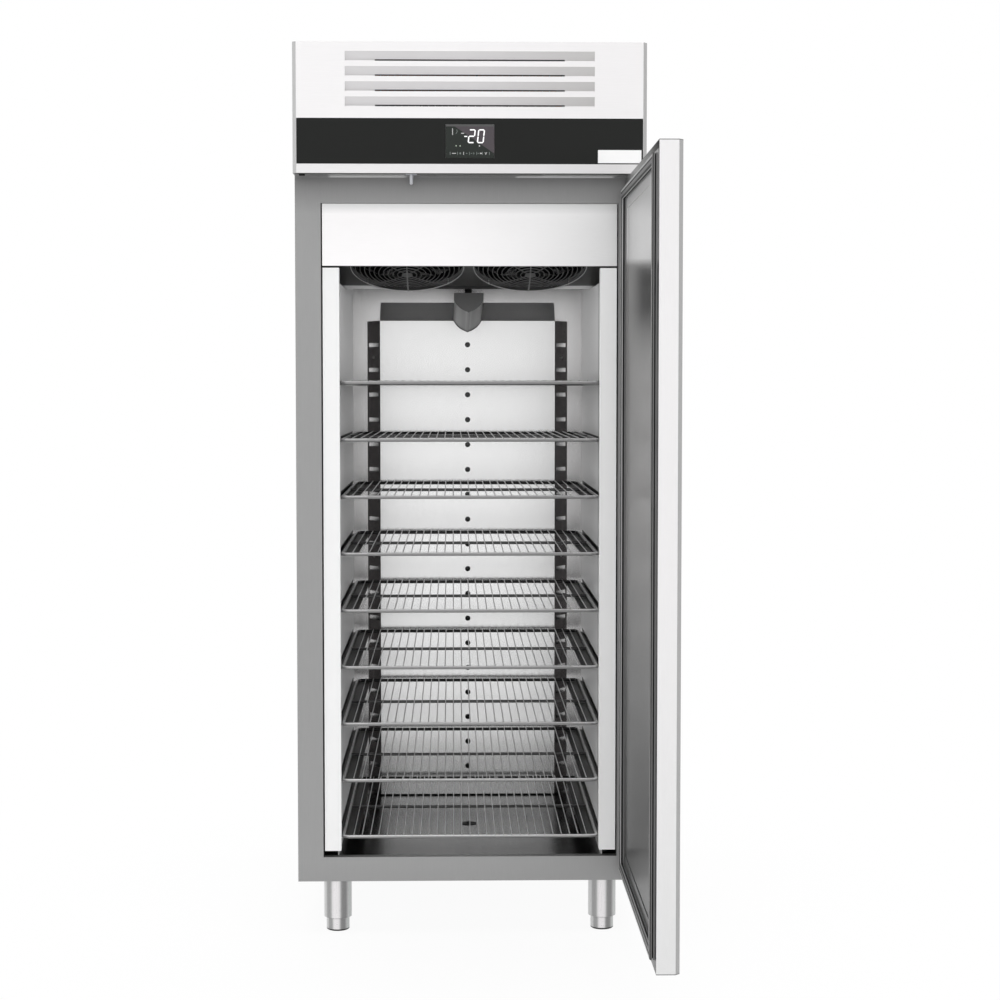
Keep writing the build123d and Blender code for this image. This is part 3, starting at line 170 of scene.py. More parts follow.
def add_bump(tree, shader, height, strength, distance):
    bump = tree.nodes.new("ShaderNodeBump")
    bump.inputs["Strength"].default_value = strength
    bump.inputs["Distance"].default_value = distance
    tree.links.new(height, bump.inputs["Height"])
    tree.links.new(bump.outputs["Normal"], shader.inputs["Normal"])


# Masks, each a maker that takes a node tree and gives a socket from 0 to 1. Their places are in metres.


def facing(direction, edge=0.95, softness=0.02):
    """Where the surface's own normal points along a direction."""

    def make(tree):
        coordinates = tree.nodes.new("ShaderNodeTexCoord")
        value = dot_product(tree, coordinates.outputs["Normal"], Vector(direction).normalized())
        return map_range(tree, value, edge - softness, edge + softness)

    return make


def along(axis, start, end):
    """Rises from 0 to 1 between two places along one of the object's axes."""
    return lambda tree: rise(tree, object_parts(tree)[axis], start, end)


def slanting(direction, start, end):
    """Rises from 0 to 1 between two places along a slanting direction."""
    return lambda tree: rise(tree, dot_product(tree, object_coordinates(tree), direction), start, end)


def within(axis, low, high, softness=0.001):
    return all_of(along(axis, low - softness, low + softness), along(axis, high + softness, high - softness))


def beside(side, inner, outer, softness=0.001):
    """A band on one side of the middle, from its inner to its outer edge."""
    low, high = sorted((side * inner, side * outer))
    return within("X", low, high, softness)


def near(place, radius, softness=0.001):
    """Inside a ball about a place on the right, and inside its mirror image on the left."""

    def make(tree):
        parts = object_parts(tree)
        from_middle = tree.nodes.new("ShaderNodeMath")
        from_middle.operation = "ABSOLUTE"
        tree.links.new(parts["X"], from_middle.inputs[0])
        mirrored = tree.nodes.new("ShaderNodeCombineXYZ")
        tree.links.new(from_middle.outputs[0], mirrored.inputs["X"])
        tree.links.new(parts["Y"], mirrored.inputs["Y"])
        tree.links.new(parts["Z"], mirrored.inputs["Z"])
        distance = tree.nodes.new("ShaderNodeVectorMath")
        distance.operation = "DISTANCE"
        tree.links.new(mirrored.outputs["Vector"], distance.inputs[0])
        distance.inputs[1].default_value = place
        return map_range(tree, distance.outputs["Value"], radius + softness, radius - softness)

    return make


def all_of(*masks):
    def make(tree):
        share = masks[0](tree)
        for mask in masks[1:]:
            share = combined(tree, "MULTIPLY", share, mask(tree))
        return share

    return make


def either(first, second):
    return lambda tree: combined(tree, "MAXIMUM", first(tree), second(tree))


def outside(mask):
    return lambda tree: map_range(tree, mask(tree), 0.0, 1.0, 1.0, 0.0)


# Materials


GRAIN = {"x": (0.9, 60.0, 60.0), "y": (60.0, 0.9, 60.0), "z": (60.0, 60.0, 0.9)}
SHEEN_ROUGHNESS = 0.4
BRUSHED_DEPTH = 0.0002
MOULDED_DEPTH = 0.0003


def layered(tree, colour, layers):
    """Lays colours over a first one, each through its mask."""
    for mask, layer in layers:
        colour = mix_colour(tree, mask(tree), colour, layer)
    return colour


def steel(
    name,
    colour,
    roughness=0.36,
    metallic=0.6,
    grain="z",
    variation=0.04,
    bump=0.05,
    layers=(),
    smear=0.3,
    specular=0.5,
    duller=None,
    sheen=0.0,
):
    """Brushed sheet: fine long grain over broad soft changes of tone.

    duller holds a mask and the metallic value where that mask is 1.
    """
    tree, shader, _ = new_material(name)
    fine = noise(tree, object_coordinates(tree, GRAIN[grain]), scale=30.0, detail=4.0, roughness=0.7)
    broad = noise(tree, object_coordinates(tree), scale=3.0, detail=2.0)
    shader.inputs["Metallic"].default_value = metallic
    shader.inputs["Specular IOR Level"].default_value = specular
    shader.inputs["Sheen Weight"].default_value = sheen
    shader.inputs["Sheen Roughness"].default_value = SHEEN_ROUGHNESS
    if duller:
        mask, dull_metallic = duller
        share = map_range(tree, mask(tree), 0.0, 1.0, metallic, dull_metallic)
        tree.links.new(share, shader.inputs["Metallic"])
    tone = layered(tree, colour, layers)
    tone = mix_colour(tree, spread(tree, fine), tone, grey(1 - variation), "MULTIPLY")
    tone = mix_colour(tree, spread(tree, broad), tone, grey(1 - variation * smear), "MULTIPLY")
    tree.links.new(tone, shader.inputs["Base Color"])
    tree.links.new(spread(tree, fine, roughness * 0.85, roughness * 1.2), shader.inputs["Roughness"])
    add_bump(tree, shader, fine, bump, BRUSHED_DEPTH)


def plain(
    name,
    colour,
    roughness=0.5,
    metallic=0.0,
    grain_scale=220.0,
    bump=0.08,
    variation=0.06,
    specular=0.5,
    layers=(),
):
    """Moulded, painted or cast surface with a fine grain."""
    tree, shader, _ = new_material(name)
    vector = object_coordinates(tree)
    fine = noise(tree, vector, grain_scale, detail=3.0, roughness=0.6)
    broad = noise(tree, vector, scale=6.0, detail=2.0)
    dark, light = shade(colour, 1 - variation), shade(colour, 1 + variation)
    tone = mix_colour(tree, spread(tree, broad), dark, light)
    tree.links.new(layered(tree, tone, layers), shader.inputs["Base Color"])
    tree.links.new(spread(tree, fine, roughness * 0.9, roughness * 1.15), shader.inputs["Roughness"])
    shader.inputs["Metallic"].default_value = metallic
    shader.inputs["Specular IOR Level"].default_value = specular
    add_bump(tree, shader, fine, bump, MOULDED_DEPTH)


def emitter(name, colour, strength=0.9):
    """A lit bar on the screen."""
    _, shader, _ = new_material(name)
    shader.inputs["Base Color"].default_value = (*shade(colour, 0.3), 1.0)
    shader.inputs["Roughness"].default_value = 0.4
    shader.inputs["Specular IOR Level"].default_value = 0.1
    shader.inputs["Emission Color"].default_value = (*colour, 1.0)
    shader.inputs["Emission Strength"].default_value = strength


LEFT = (-1.0, 0.0, 0.0)
RIGHT = (1.0, 0.0, 0.0)
FRONT = (0.0, -1.0, 0.0)
BACK = (0.0, 1.0, 0.0)
UP = (0.0, 0.0, 1.0)
DOWN = (0.0, 0.0, -1.0)
LEFT_BEVEL = (-1.0, -1.0, 0.0)
RIGHT_BEVEL = (1.0, -1.0, 0.0)
SIDES = (-1, 1)

WHITE_STEEL = (0.87, 0.858, 0.863)
ZINC = (0.52, 0.53, 0.54)

# Masks that several layers share
FLAT_FRONT = facing(FRONT, 0.9)
FRONT_AND_BEVEL = facing(FRONT, 0.5, 0.1)
HEADER_CHAMFER = facing((0.0, -19.2, -9.0), 0.985, 0.01)
HEADER_FOOT = all_of(facing(FRONT), along("Z", 1.757, 1.755))
UNDER_HEADER = all_of(facing(DOWN), along("Y", -0.450, -0.438))
UNDER_HEADER_LINE = all_of(facing(FRONT), within("Z", 1.7316, 1.7352, 0.0006))
# Painted highlight: a brighter band on the left of the header's underside and of the line below it
LEFT_HIGHLIGHT_BAND = within("X", -0.317, -0.145, 0.004)
# Painted shadow: a narrow black strip down the inner rack walls behind the posts
POST_SHADOW_STRIP = within("Y", -0.285, -0.225, 0.004)
UNDER_COVER = along("Z", 1.40, 1.395)
WIRE_LIT_TOP = facing(UP, 0.55, 0.3)
COMPARTMENT_SHADE = along("Z", 1.72, 1.71)

LOUVRE_COUNT = 4
LOUVRE_PITCH = 0.0334
TOP_SLIT = 1.9850
SLIT_HEIGHT = 0.0020
SLIT_HALF_WIDTH = 0.2115
FAN_CENTRE = (0.149, -0.0719, 1.5641)
FAN_ORIFICE = near(FAN_CENTRE, 0.1375)
FAN_HUB_SHADE = (0.149, 0.075, 1.46)
DOOR_SHINE = (0.0, -0.0614, 1.0)

# Painted light and shade on the header: the front darker towards the right, bevels and chamfers shaded by
# the way they face, the strip under the band darker, back faces dark, and the underside dark with painted
# highlight bands
header_layers = [
    (all_of(facing(FRONT), along("X", -0.10, 0.39)), (0.825, 0.812, 0.817)),
    (facing(LEFT_BEVEL), grey(0.49)),
    (facing(RIGHT_BEVEL), grey(0.41)),
    (HEADER_CHAMFER, (0.70, 0.688, 0.695)),
    (all_of(HEADER_CHAMFER, along("X", 0.0, 0.28)), (0.62, 0.61, 0.605)),
    (HEADER_FOOT, (0.80, 0.79, 0.795)),
    (all_of(HEADER_FOOT, along("X", -0.25, 0.39)), (0.70, 0.69, 0.695)),
    (facing(BACK, 0.2, 0.1), grey(0.02)),
    (facing(DOWN), grey(0.12)),
    (UNDER_HEADER, grey(0.36)),
    (all_of(UNDER_HEADER, LEFT_HIGHLIGHT_BAND), grey(0.62)),
    (all_of(UNDER_HEADER, within("X", 0.163, 0.332, 0.004)), grey(0.56)),
]
# Painted shade: a dark line at the foot of each louvre blade, inside the slit
for i in range(LOUVRE_COUNT):
    slit = TOP_SLIT - LOUVRE_PITCH * i
    blade_foot = all_of(
        within("Z", slit, slit + SLIT_HEIGHT, 0.0003),
        within("X", -SLIT_HALF_WIDTH, SLIT_HALF_WIDTH),
        along("Y", -0.4665, -0.4655),
    )
    header_layers.append((blade_foot, grey(0.02)))
# Painted light and shade on the door: shaded sides and bevels by the way each face points, and a darker
# lower front; also thin dark lines along the top and bottom edges
door_layers = [
    (facing(LEFT), grey(0.30)),
    (all_of(facing(LEFT), along("Y", -1.02, -1.18)), grey(0.035)),
    (all_of(facing(LEFT), along("Y", -0.60, -0.47)), grey(0.10)),
    (facing(FRONT), (0.825, 0.815, 0.82)),
    (all_of(facing(FRONT), along("Z", 0.9, 0.13)), grey(0.755)),
    (facing(RIGHT_BEVEL), grey(0.40)),
    (facing(DOWN), grey(0.35)),
    (all_of(FRONT_AND_BEVEL, within("Z", 1.7237, 1.7258, 0.0004)), grey(0.22)),
    (all_of(FRONT_AND_BEVEL, within("Z", 0.1292, 0.1313, 0.0004)), grey(0.20)),
]
# Painted reflection and shade on the evaporator cover: darker towards the right and towards the top, and
# dark underneath
cover_layers = [
    (all_of(facing(FRONT), along("X", -0.05, 0.33)), grey(0.86)),
    (all_of(facing(FRONT), along("Z", 1.650, 1.674)), grey(0.66)),
    (facing(DOWN), grey(0.25)),
]
# Painted shade on the air duct panel: the front dimmer at the top, at the sides and towards the bottom, and
# the slanted top flange a little darker
duct_layers = [
    (facing((0.0, -1.0, 1.0)), grey(0.95)),
    (FLAT_FRONT, grey(0.985)),
    (all_of(FLAT_FRONT, along("Z", 1.15, 1.40)), grey(0.91)),
    *[(all_of(FLAT_FRONT, along("X", side * 0.10, side * 0.235)), grey(0.93)) for side in SIDES],
    (all_of(FLAT_FRONT, along("Z", 0.75, 0.20)), grey(0.80)),
]
# Painted light and shade on the side racks: front edges a little lighter on the right, a painted shadow
# strip on the inner walls, and a darker band towards the back corner
rack_layers = [
    (FLAT_FRONT, grey(0.88)),
    (all_of(FLAT_FRONT, along("X", 0.0, 0.05)), grey(0.92)),
]
for inwards in (RIGHT, LEFT):
    rack_layers += [
        (all_of(facing(inwards), POST_SHADOW_STRIP), grey(0.01)),
        (all_of(facing(inwards), along("Y", 0.370, 0.395)), grey(0.62)),
    ]
# Painted shade on the front frame: darker under the header, at the bottom rail and on top faces, with a dark
# line under the header that carries painted highlight bands
frame_layers = [
    (all_of(facing(FRONT), along("Z", 1.65, 1.735)), grey(0.19)),
    (all_of(facing(FRONT), along("Z", 0.17, 0.125)), grey(0.33)),
    (facing(UP), grey(0.30)),
    (UNDER_HEADER_LINE, grey(0.24)),
    (all_of(UNDER_HEADER_LINE, LEFT_HIGHLIGHT_BAND), grey(0.55)),
    (all_of(UNDER_HEADER_LINE, within("X", 0.105, 0.325, 0.004)), grey(0.62)),
]
# Painted shade and reflection on the liner: the back wall dark behind the duct, the floor dark with darker
# bands at the sides and a black strip at the back, and darker walls and ceiling
liner_layers = [
    (all_of(facing(FRONT), within("X", -0.249, 0.249, 0.013), UNDER_COVER), grey(0.28)),
    (all_of(facing(FRONT), within("X", -0.12, 0.12), UNDER_COVER), grey(0.11)),
    (facing(UP), grey(0.245)),
    *[(all_of(facing(UP), along("X", side * 0.172, side * 0.235)), grey(0.02)) for side in SIDES],
    *[(all_of(facing(UP), along("X", side * 0.262, side * 0.290)), grey(0.09)) for side in SIDES],
    (all_of(facing(UP), along("Y", 0.36, 0.37)), grey(0.002)),
    (facing(DOWN), grey(0.30)),
    (facing(RIGHT), grey(0.20)),
    (facing(LEFT), grey(0.20)),
]
# Painted highlights and shade on the legs: light and dark upright bands set by the way the surface faces.
# The feet also turn dark at the very bottom.
leg_layers = [
    (facing((-0.10, -1.0, 0.0), 0.955, 0.035), (0.84, 0.82, 0.83)),
    (facing((0.50, -0.87, 0.0), 0.968, 0.025), grey(0.24)),
    (facing((-0.62, -0.78, 0.0), 0.978, 0.018), grey(0.34)),
    (facing((0.95, -0.42, 0.0), 0.97, 0.02), (0.50, 0.52, 0.51)),
    (facing((-0.95, -0.35, 0.0), 0.96, 0.03), grey(0.60)),
]
foot_layers = leg_layers + [(along("Z", 0.0045, 0.0035), grey(0.02))]
# Painted reflection and shade on the door's inner face: a light band at the top, a dark patch below it
# towards the free edge, and darker towards the bottom
door_liner_layers = [
    (slanting(DOOR_SHINE, 1.560, 1.576), grey(0.60)),
    (along("Z", 0.95, 0.60), grey(0.19)),
    (
        all_of(slanting(DOOR_SHINE, 1.575, 1.550), along("Z", 1.28, 1.42), along("Y", -0.48, -0.85)),
        grey(0.03),
    ),
    (along("Z", 0.60, 0.15), grey(0.08)),
]
# Painted light on the drain trough's underside: the slanted faces and a thin strip by the middle ridge
# lighter than the rest
trough_layers = [
    *[
        (all_of(facing((side * 0.75, 0.0, -0.66), 0.97, 0.03), facing(DOWN, 0.3, 0.1)), grey(0.24))
        for side in SIDES
    ],
    *[(all_of(facing(DOWN, 0.2, 0.1), beside(side, 0.004, 0.007)), grey(0.20)) for side in SIDES],
]
# Painted light and shade on the fan panel: a lighter upright strip in the middle, front faces light with a
# dark middle, and black inside the fan openings
dark_layers = [
    (within("X", -0.02, 0.02, 0.03), grey(0.50)),
    (facing(FRONT), grey(0.95)),
    (all_of(facing(FRONT), within("X", -0.10, 0.10, 0.03)), grey(0.06)),
    (FAN_ORIFICE, grey(0.004)),
]
# Painted light and shade on the fan guards: dark round the hub, lighter beyond the guard's ring, and two
# thin lighter upright bands
guard_layers = [
    (
        all_of(near(FAN_CENTRE, 0.13), along("Y", -0.055, -0.040), near(FAN_HUB_SHADE, 0.115, 0.015)),
        grey(0.05),
    ),
    (outside(near(FAN_CENTRE, 0.1360)), grey(0.80)),
    *[(beside(side, 0.1470, 0.1510, 0.0005), grey(0.30)) for side in SIDES],
]
# Painted shade on the shelf runners: nearly black steel, with tops and front ends a little lighter and a
# darker strip along the tops
runner_layers = [
    (facing(UP), grey(0.15)),
    *[(all_of(facing(UP), beside(side, 0.260, 0.274)), grey(0.05)) for side in SIDES],
    (facing(FRONT), grey(0.45)),
]
# Painted light and shade on the shelf wires: lit tops over a darker base, brighter on the outer and lower
# shelves, dark rear and cross bars, a painted highlight on the front bar, and shaded side bars
wire_layers = [
    (WIRE_LIT_TOP, grey(0.48)),
    (all_of(outside(within("X", -0.235, 0.235)), WIRE_LIT_TOP), grey(0.75)),
    (all_of(along("Z", 0.42, 0.25), WIRE_LIT_TOP), grey(0.95)),
    (along("Y", 0.3180, 0.3200), grey(0.03)),
    (all_of(within("Y", -0.0570, -0.0480), facing(FRONT, 0.3, 0.15)), grey(0.09)),
    (all_of(along("Y", -0.3915, -0.3930), facing(UP, 0.7, 0.2)), grey(0.95)),
    *[
        (all_of(beside(side, 0.286, 0.305), facing((-side, 0.0, -0.3), 0.2, 0.3)), grey(0.08))
        for side in SIDES
    ],
]
# Painted reflection: a lighter, faintly tinted area over the screen above a slanting line. Also lighter: a
# thin band near the top and the right-facing sides.
screen_layers = [
    (slanting((0.68, 0.0, 1.0), 1.8145, 1.8165), (0.084, 0.074, 0.081)),
    (within("Z", 1.8385, 1.8450, 0.0008), grey(0.10)),
    (facing(RIGHT), grey(0.05)),
]

steel("door_steel", WHITE_STEEL, layers=door_layers)
steel("header_steel", WHITE_STEEL, grain="x", layers=header_layers)
steel("side_steel", grey(0.70), variation=0.09, smear=0.6)
steel("cover_steel", (0.965, 0.950, 0.955), grain="x", layers=cover_layers)
steel(
    "duct_steel",
    (0.33, 0.315, 0.315),
    roughness=0.22,
    metallic=0.97,
    variation=0.01,
    bump=0.01,
    layers=duct_layers,
    duller=(outside(FLAT_FRONT), 0.85),
)
steel(
    "rack_steel",
    grey(0.98),
    roughness=0.20,
    sheen=1.0,
    variation=0.01,
    bump=0.01,
    layers=rack_layers,
    specular=0.0,
    duller=(either(FLAT_FRONT, POST_SHADOW_STRIP), 0.0),
)
steel("frame_steel", grey(0.345), roughness=0.42, layers=frame_layers)
steel(
    "liner_steel",
    (0.93, 0.92, 0.92),
    roughness=0.24,
    metallic=0.85,
    variation=0.01,
    bump=0.01,
    layers=liner_layers,
)
steel(
    "door_liner_steel",
    (0.27, 0.266, 0.264),
    roughness=0.35,
    metallic=0.3,
    variation=0.01,
    bump=0.01,
    layers=door_liner_layers,
    specular=0.25,
)
# Painted shade: the runners' own colour is set nearly black
steel(
    "runner_steel",
    grey(0.006),
    roughness=0.4,
    metallic=0.4,
    grain="y",
    variation=0.02,
    layers=runner_layers,
)
steel(
    "dark_steel",
    grey(0.20),
    roughness=0.4,
    metallic=0.5,
    grain="x",
    variation=0.02,
    layers=dark_layers,
    specular=0.1,
    duller=(FAN_ORIFICE, 0.0),
)
steel("trough_steel", grey(0.115), roughness=0.35, metallic=0.5, grain="y", layers=trough_layers)
steel("wire_steel", grey(0.26), roughness=0.3, grain="y", layers=wire_layers)
steel("galvanised", ZINC, roughness=0.45, metallic=0.7, grain="x", variation=0.16, smear=0.6)
steel("leg_steel", grey(0.50), roughness=0.3, metallic=0.7, layers=leg_layers)
steel("foot_steel", grey(0.45), roughness=0.3, metallic=0.7, grain="x", layers=foot_layers)
steel("aluminium_fins", (0.65, 0.66, 0.67), layers=[(COMPARTMENT_SHADE, grey(0.05))])
steel(
    "spout_steel",
    ZINC,
    roughness=0.45,
    metallic=0.5,
    grain="x",
    layers=[(along("Z", 1.5115, 1.5105), grey(0.006))],
)
steel("heater_steel", grey(0.2), grain="x")
plain("guard_wire", grey(0.20), roughness=0.4, metallic=0.2, specular=0.4, layers=guard_layers)
plain("motor_paint", grey(0.006), specular=0.08)
plain("compressor_paint", grey(0.012), roughness=0.35, metallic=0.1, grain_scale=90.0, bump=0.12)
plain("fan_plastic", grey(0.004), roughness=0.6, specular=0.05)
plain(
    "black_glass",
    (0.0165, 0.0172, 0.0165),
    roughness=0.3,
    grain_scale=400.0,
    bump=0.0,
    variation=0.02,
    specular=0.08,
)
plain(
    "screen_glass",
    (0.029, 0.033, 0.030),
    roughness=0.25,
    grain_scale=400.0,
    bump=0.0,
    specular=0.08,
    layers=screen_layers,
)
plain("white_plate", grey(0.87), roughness=0.35)
plain("switch_plastic", (0.52, 0.53, 0.56), roughness=0.35, metallic=0.2)
plain("black_plastic", grey(0.015), specular=0.3)
plain("pipe_plastic", grey(0.16), specular=0.2, layers=[(along("Z", 0.10, 0.14), grey(0.005))])
plain("grey_plastic", (0.32, 0.33, 0.34))
plain("foam", (0.75, 0.66, 0.42), roughness=0.9, grain_scale=120.0, bump=0.4)
plain("gasket_rubber", grey(0.17), grain_scale=300.0, bump=0.1, specular=0.3)
plain("seal_shaded", grey(0.028), grain_scale=300.0, bump=0.1, specular=0.2)
plain("seal_lit", grey(0.42), grain_scale=300.0, bump=0.1, specular=0.3)
plain("black_rubber", grey(0.015), roughness=0.7, specular=0.2)
plain(
    "copper",
    (0.62, 0.30, 0.17),
    roughness=0.3,
    metallic=0.9,
    grain_scale=150.0,
    bump=0.04,
    variation=0.15,
    layers=[(COMPARTMENT_SHADE, grey(0.02))],
)
plain("screw_steel", grey(0.5), roughness=0.3, metallic=0.9)
emitter("digit_light", grey(1.0), 0.95)
emitter("mark_light", grey(0.46))
emitter("dim_light", (0.16, 0.18, 0.17))
emitter("dot_light", (0.34, 0.40, 0.32))

looks = {
    "side_panels": "side_steel",
    "back_panel": "galvanised",
    "bottom_panel": "galvanised",
    "deck_panel": "galvanised",
    "front_frame": "frame_steel",
    "insulation": "foam",
    "liner": "liner_steel",
    "leg_sleeves": "leg_steel",
    "side_racks": "rack_steel",
    "shelf_runners": "runner_steel",
    "air_duct_panel": "duct_steel",
    "evaporator_cover": "cover_steel",
    "fan_panel": "dark_steel",
    "fan_guards": "guard_wire",
    "fan_motors": "motor_paint",
    "evaporator_fan_left": "fan_plastic",
    "evaporator_fan_right": "fan_plastic",
    "evaporator_coil": "aluminium_fins",
    "defrost_heater": "heater_steel",
    "drip_tray": "spout_steel",
    "drain_trough": "trough_steel",
    "drain_pipes": "pipe_plastic",
    "header_panel": "header_steel",
    "control_glass": "black_glass",
    "display_module": "screen_glass",
    "label_plate": "white_plate",
    "door_switch": "switch_plastic",
    "switch_plunger": "switch_plastic",
    "top_cover": "galvanised",
    "rear_grille": "galvanised",
    "power_inlet": "black_plastic",
    "condenser_coil": "aluminium_fins",
    "fan_shroud": "galvanised",
    "condenser_motor": "motor_paint",
    "condenser_fan": "fan_plastic",
    "compressor": "compressor_paint",
    "rubber_mounts": "black_rubber",
    "electrical_box": "grey_plastic",
    "refrigerant_pipes": "copper",
    "door_shell": "door_steel",
    "door_insulation": "foam",
    "door_liner": "door_liner_steel",
    "door_gasket": "gasket_rubber",
    "door_grip": "black_plastic",
    "hinge_bushes": "black_plastic",
    "hinge_brackets": "frame_steel",
    "screws": "screw_steel",
}
for name in nodes:
    if name.startswith("shelf_") and name != "shelf_runners":
        looks[name] = "wire_steel"
    if name.startswith("foot_"):
        looks[name] = "foot_steel"

for name, look in looks.items():
    mesh = nodes[name].data
    mesh.materials.clear()
    mesh.materials.append(materials[look])


# Mesh helpers


def add_object(name, mesh):
    piece = bpy.data.objects.new(name, mesh)
    bpy.context.scene.collection.objects.link(piece)
    return piece


def mesh_object(name, vertices, faces, look):
    mesh = bpy.data.meshes.new(name)
    mesh.from_pydata(vertices, [], faces)
    mesh.validate()
    mesh.update()
    mesh.materials.append(materials[look])
    return add_object(name, mesh)


def prism(outline, y_low, y_high):
    """Vertices and faces of an outline in X and Z that is carried from one Y place to another."""
    count = len(outline)
    vertices = [(x * MM, y * MM, z * MM) for y in (y_low, y_high) for x, z in outline]
    sides = [(i, (i + 1) % count, (i + 1) % count + count, i + count) for i in range(count)]
    return vertices, [tuple(range(count - 1, -1, -1)), tuple(range(count, 2 * count))] + sides


def joined(name, parts, look):
    vertices = []
    faces = []
    for part_vertices, part_faces in parts:
        start = len(vertices)
        vertices += part_vertices
        faces += [tuple(index + start for index in face) for face in part_faces]
    return mesh_object(name, vertices, faces, look)


# Screen: seven-bar digits, and small marks that mean nothing in particular. Sizes are in millimetres.

SCREEN_Y = FRONT_Y - 0.2
DIGIT_STAND = 0.15
MARK_STAND = 0.1
DIGIT_WIDTH = 15.3
DIGIT_HEIGHT = 30.8
DIGIT_BAR = 2.7
DIGIT_LEAN = 0.107
DIGIT_GAP = 0.25
DIGIT_BOTTOM = 1801.4
SEGMENTS = {"2": "abged", "0": "abcdef"}


def segment_outline(letter):
    """A bar with pointed ends, in the digit's own corner frame."""
    half = DIGIT_BAR / 2
    left, right = half, DIGIT_WIDTH - half
    bottom, middle, top = half, DIGIT_HEIGHT / 2, DIGIT_HEIGHT - half
    level = {"a": top, "g": middle, "d": bottom}
    upright = {
        "f": (left, middle, top),
        "b": (right, middle, top),
        "e": (left, bottom, middle),
        "c": (right, bottom, middle),
    }
    if letter in level:
        z = level[letter]
        low, high = left + DIGIT_GAP, right - DIGIT_GAP
        lower = [(low, z), (low + half, z - half), (high - half, z - half)]
        return lower + [(high, z), (high - half, z + half), (low + half, z + half)]
    x, low, high = upright[letter]
    low, high = low + DIGIT_GAP, high - DIGIT_GAP
    right_half = [(x, low), (x + half, low + half), (x + half, high - half)]
    return right_half + [(x, high), (x - half, high - half), (x - half, low + half)]


def digit_parts(digit, x):
    parts = []
    for letter in SEGMENTS[digit]:
        outline = segment_outline(letter)
        leaning = [(x + px + pz * DIGIT_LEAN, DIGIT_BOTTOM + pz) for px, pz in outline]
        parts.append(prism(leaning, SCREEN_Y - DIGIT_STAND, SCREEN_Y))
    return parts


def mark(x, z, width, height):
    """A small lit bar about a centre."""
    low_x, high_x = x - width / 2, x + width / 2
    low_z, high_z = z - height / 2, z + height / 2
    corners = [(low_x, low_z), (high_x, low_z), (high_x, high_z), (low_x, high_z)]
    return prism(corners, SCREEN_Y - MARK_STAND, SCREEN_Y)


def line_mark(x_1, z_1, x_2, z_2, thickness):
    along_line = Vector((x_2 - x_1, z_2 - z_1)).normalized()
    side = Vector((-along_line.y, along_line.x)) * thickness / 2
    ends = ((x_1, z_1, 1), (x_2, z_2, 1), (x_2, z_2, -1), (x_1, z_1, -1))
    corners = [(x + side.x * sign, z + side.y * sign) for x, z, sign in ends]
    return prism(corners, SCREEN_Y - MARK_STAND, SCREEN_Y)


def lit(name, parts, look):
    piece = joined(name, parts, look)
    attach(piece, "cabinet")


ROW_Z = 1778.9
MINUS_SIGN = mark(-9.4, 1816.3, 6.6, 2.3)
lit("lit_digits", digit_parts("2", -5.4) + digit_parts("0", 15.1) + [MINUS_SIGN], "digit_light")
lit(
    "lit_marks",
    [
        mark(-38.8, 1826.8, 1.7, 14.2),
        mark(-16.4, 1823.2, 6.4, 2.0),
        mark(-35.7, ROW_Z, 9.0, 1.6),
        mark(-14.2, ROW_Z, 1.3, 6.4),
        mark(24.3, ROW_Z, 4.2, 2.6),
        line_mark(33.4, ROW_Z + 2.6, 35.2, ROW_Z - 2.6, 1.1),
        line_mark(37.2, ROW_Z + 2.6, 35.2, ROW_Z - 2.6, 1.1),
        mark(21.1, 1795.6, 2.6, 3.0),
    ],
    "mark_light",
)
lit(
    "dim_marks",
    [
        line_mark(-29.6, 1831.2, -28.2, 1827.0, 1.2),
        line_mark(-28.2, 1827.0, -31.4, 1822.0, 1.2),
        mark(-44.2, ROW_Z, 1.3, 6.4),
        mark(-27.6, ROW_Z, 1.2, 6.4),
        mark(-21.6, ROW_Z, 3.4, 3.8),
        mark(-7.4, ROW_Z, 3.0, 1.6),
        mark(-1.2, ROW_Z, 1.2, 6.4),
        mark(3.2, ROW_Z, 2.8, 1.4),
        line_mark(6.9, ROW_Z + 1.8, 9.8, ROW_Z, 1.1),
        line_mark(6.9, ROW_Z - 1.8, 9.8, ROW_Z, 1.1),
        mark(14.9, ROW_Z, 1.2, 6.4),
        mark(18.2, ROW_Z, 1.8, 2.2),
        mark(27.8, ROW_Z, 1.2, 6.4),
        mark(43.2, ROW_Z, 1.2, 6.4),
    ],
    "dim_light",
)
lit("lit_dots", [mark(-30.8, 1795.6, 2.6, 2.6), mark(-21.9, 1795.4, 2.6, 2.6)], "dot_light")


# Door seal: a rounded head on a grooved base. Sizes are in millimetres.

GASKET_INSET = 23.0
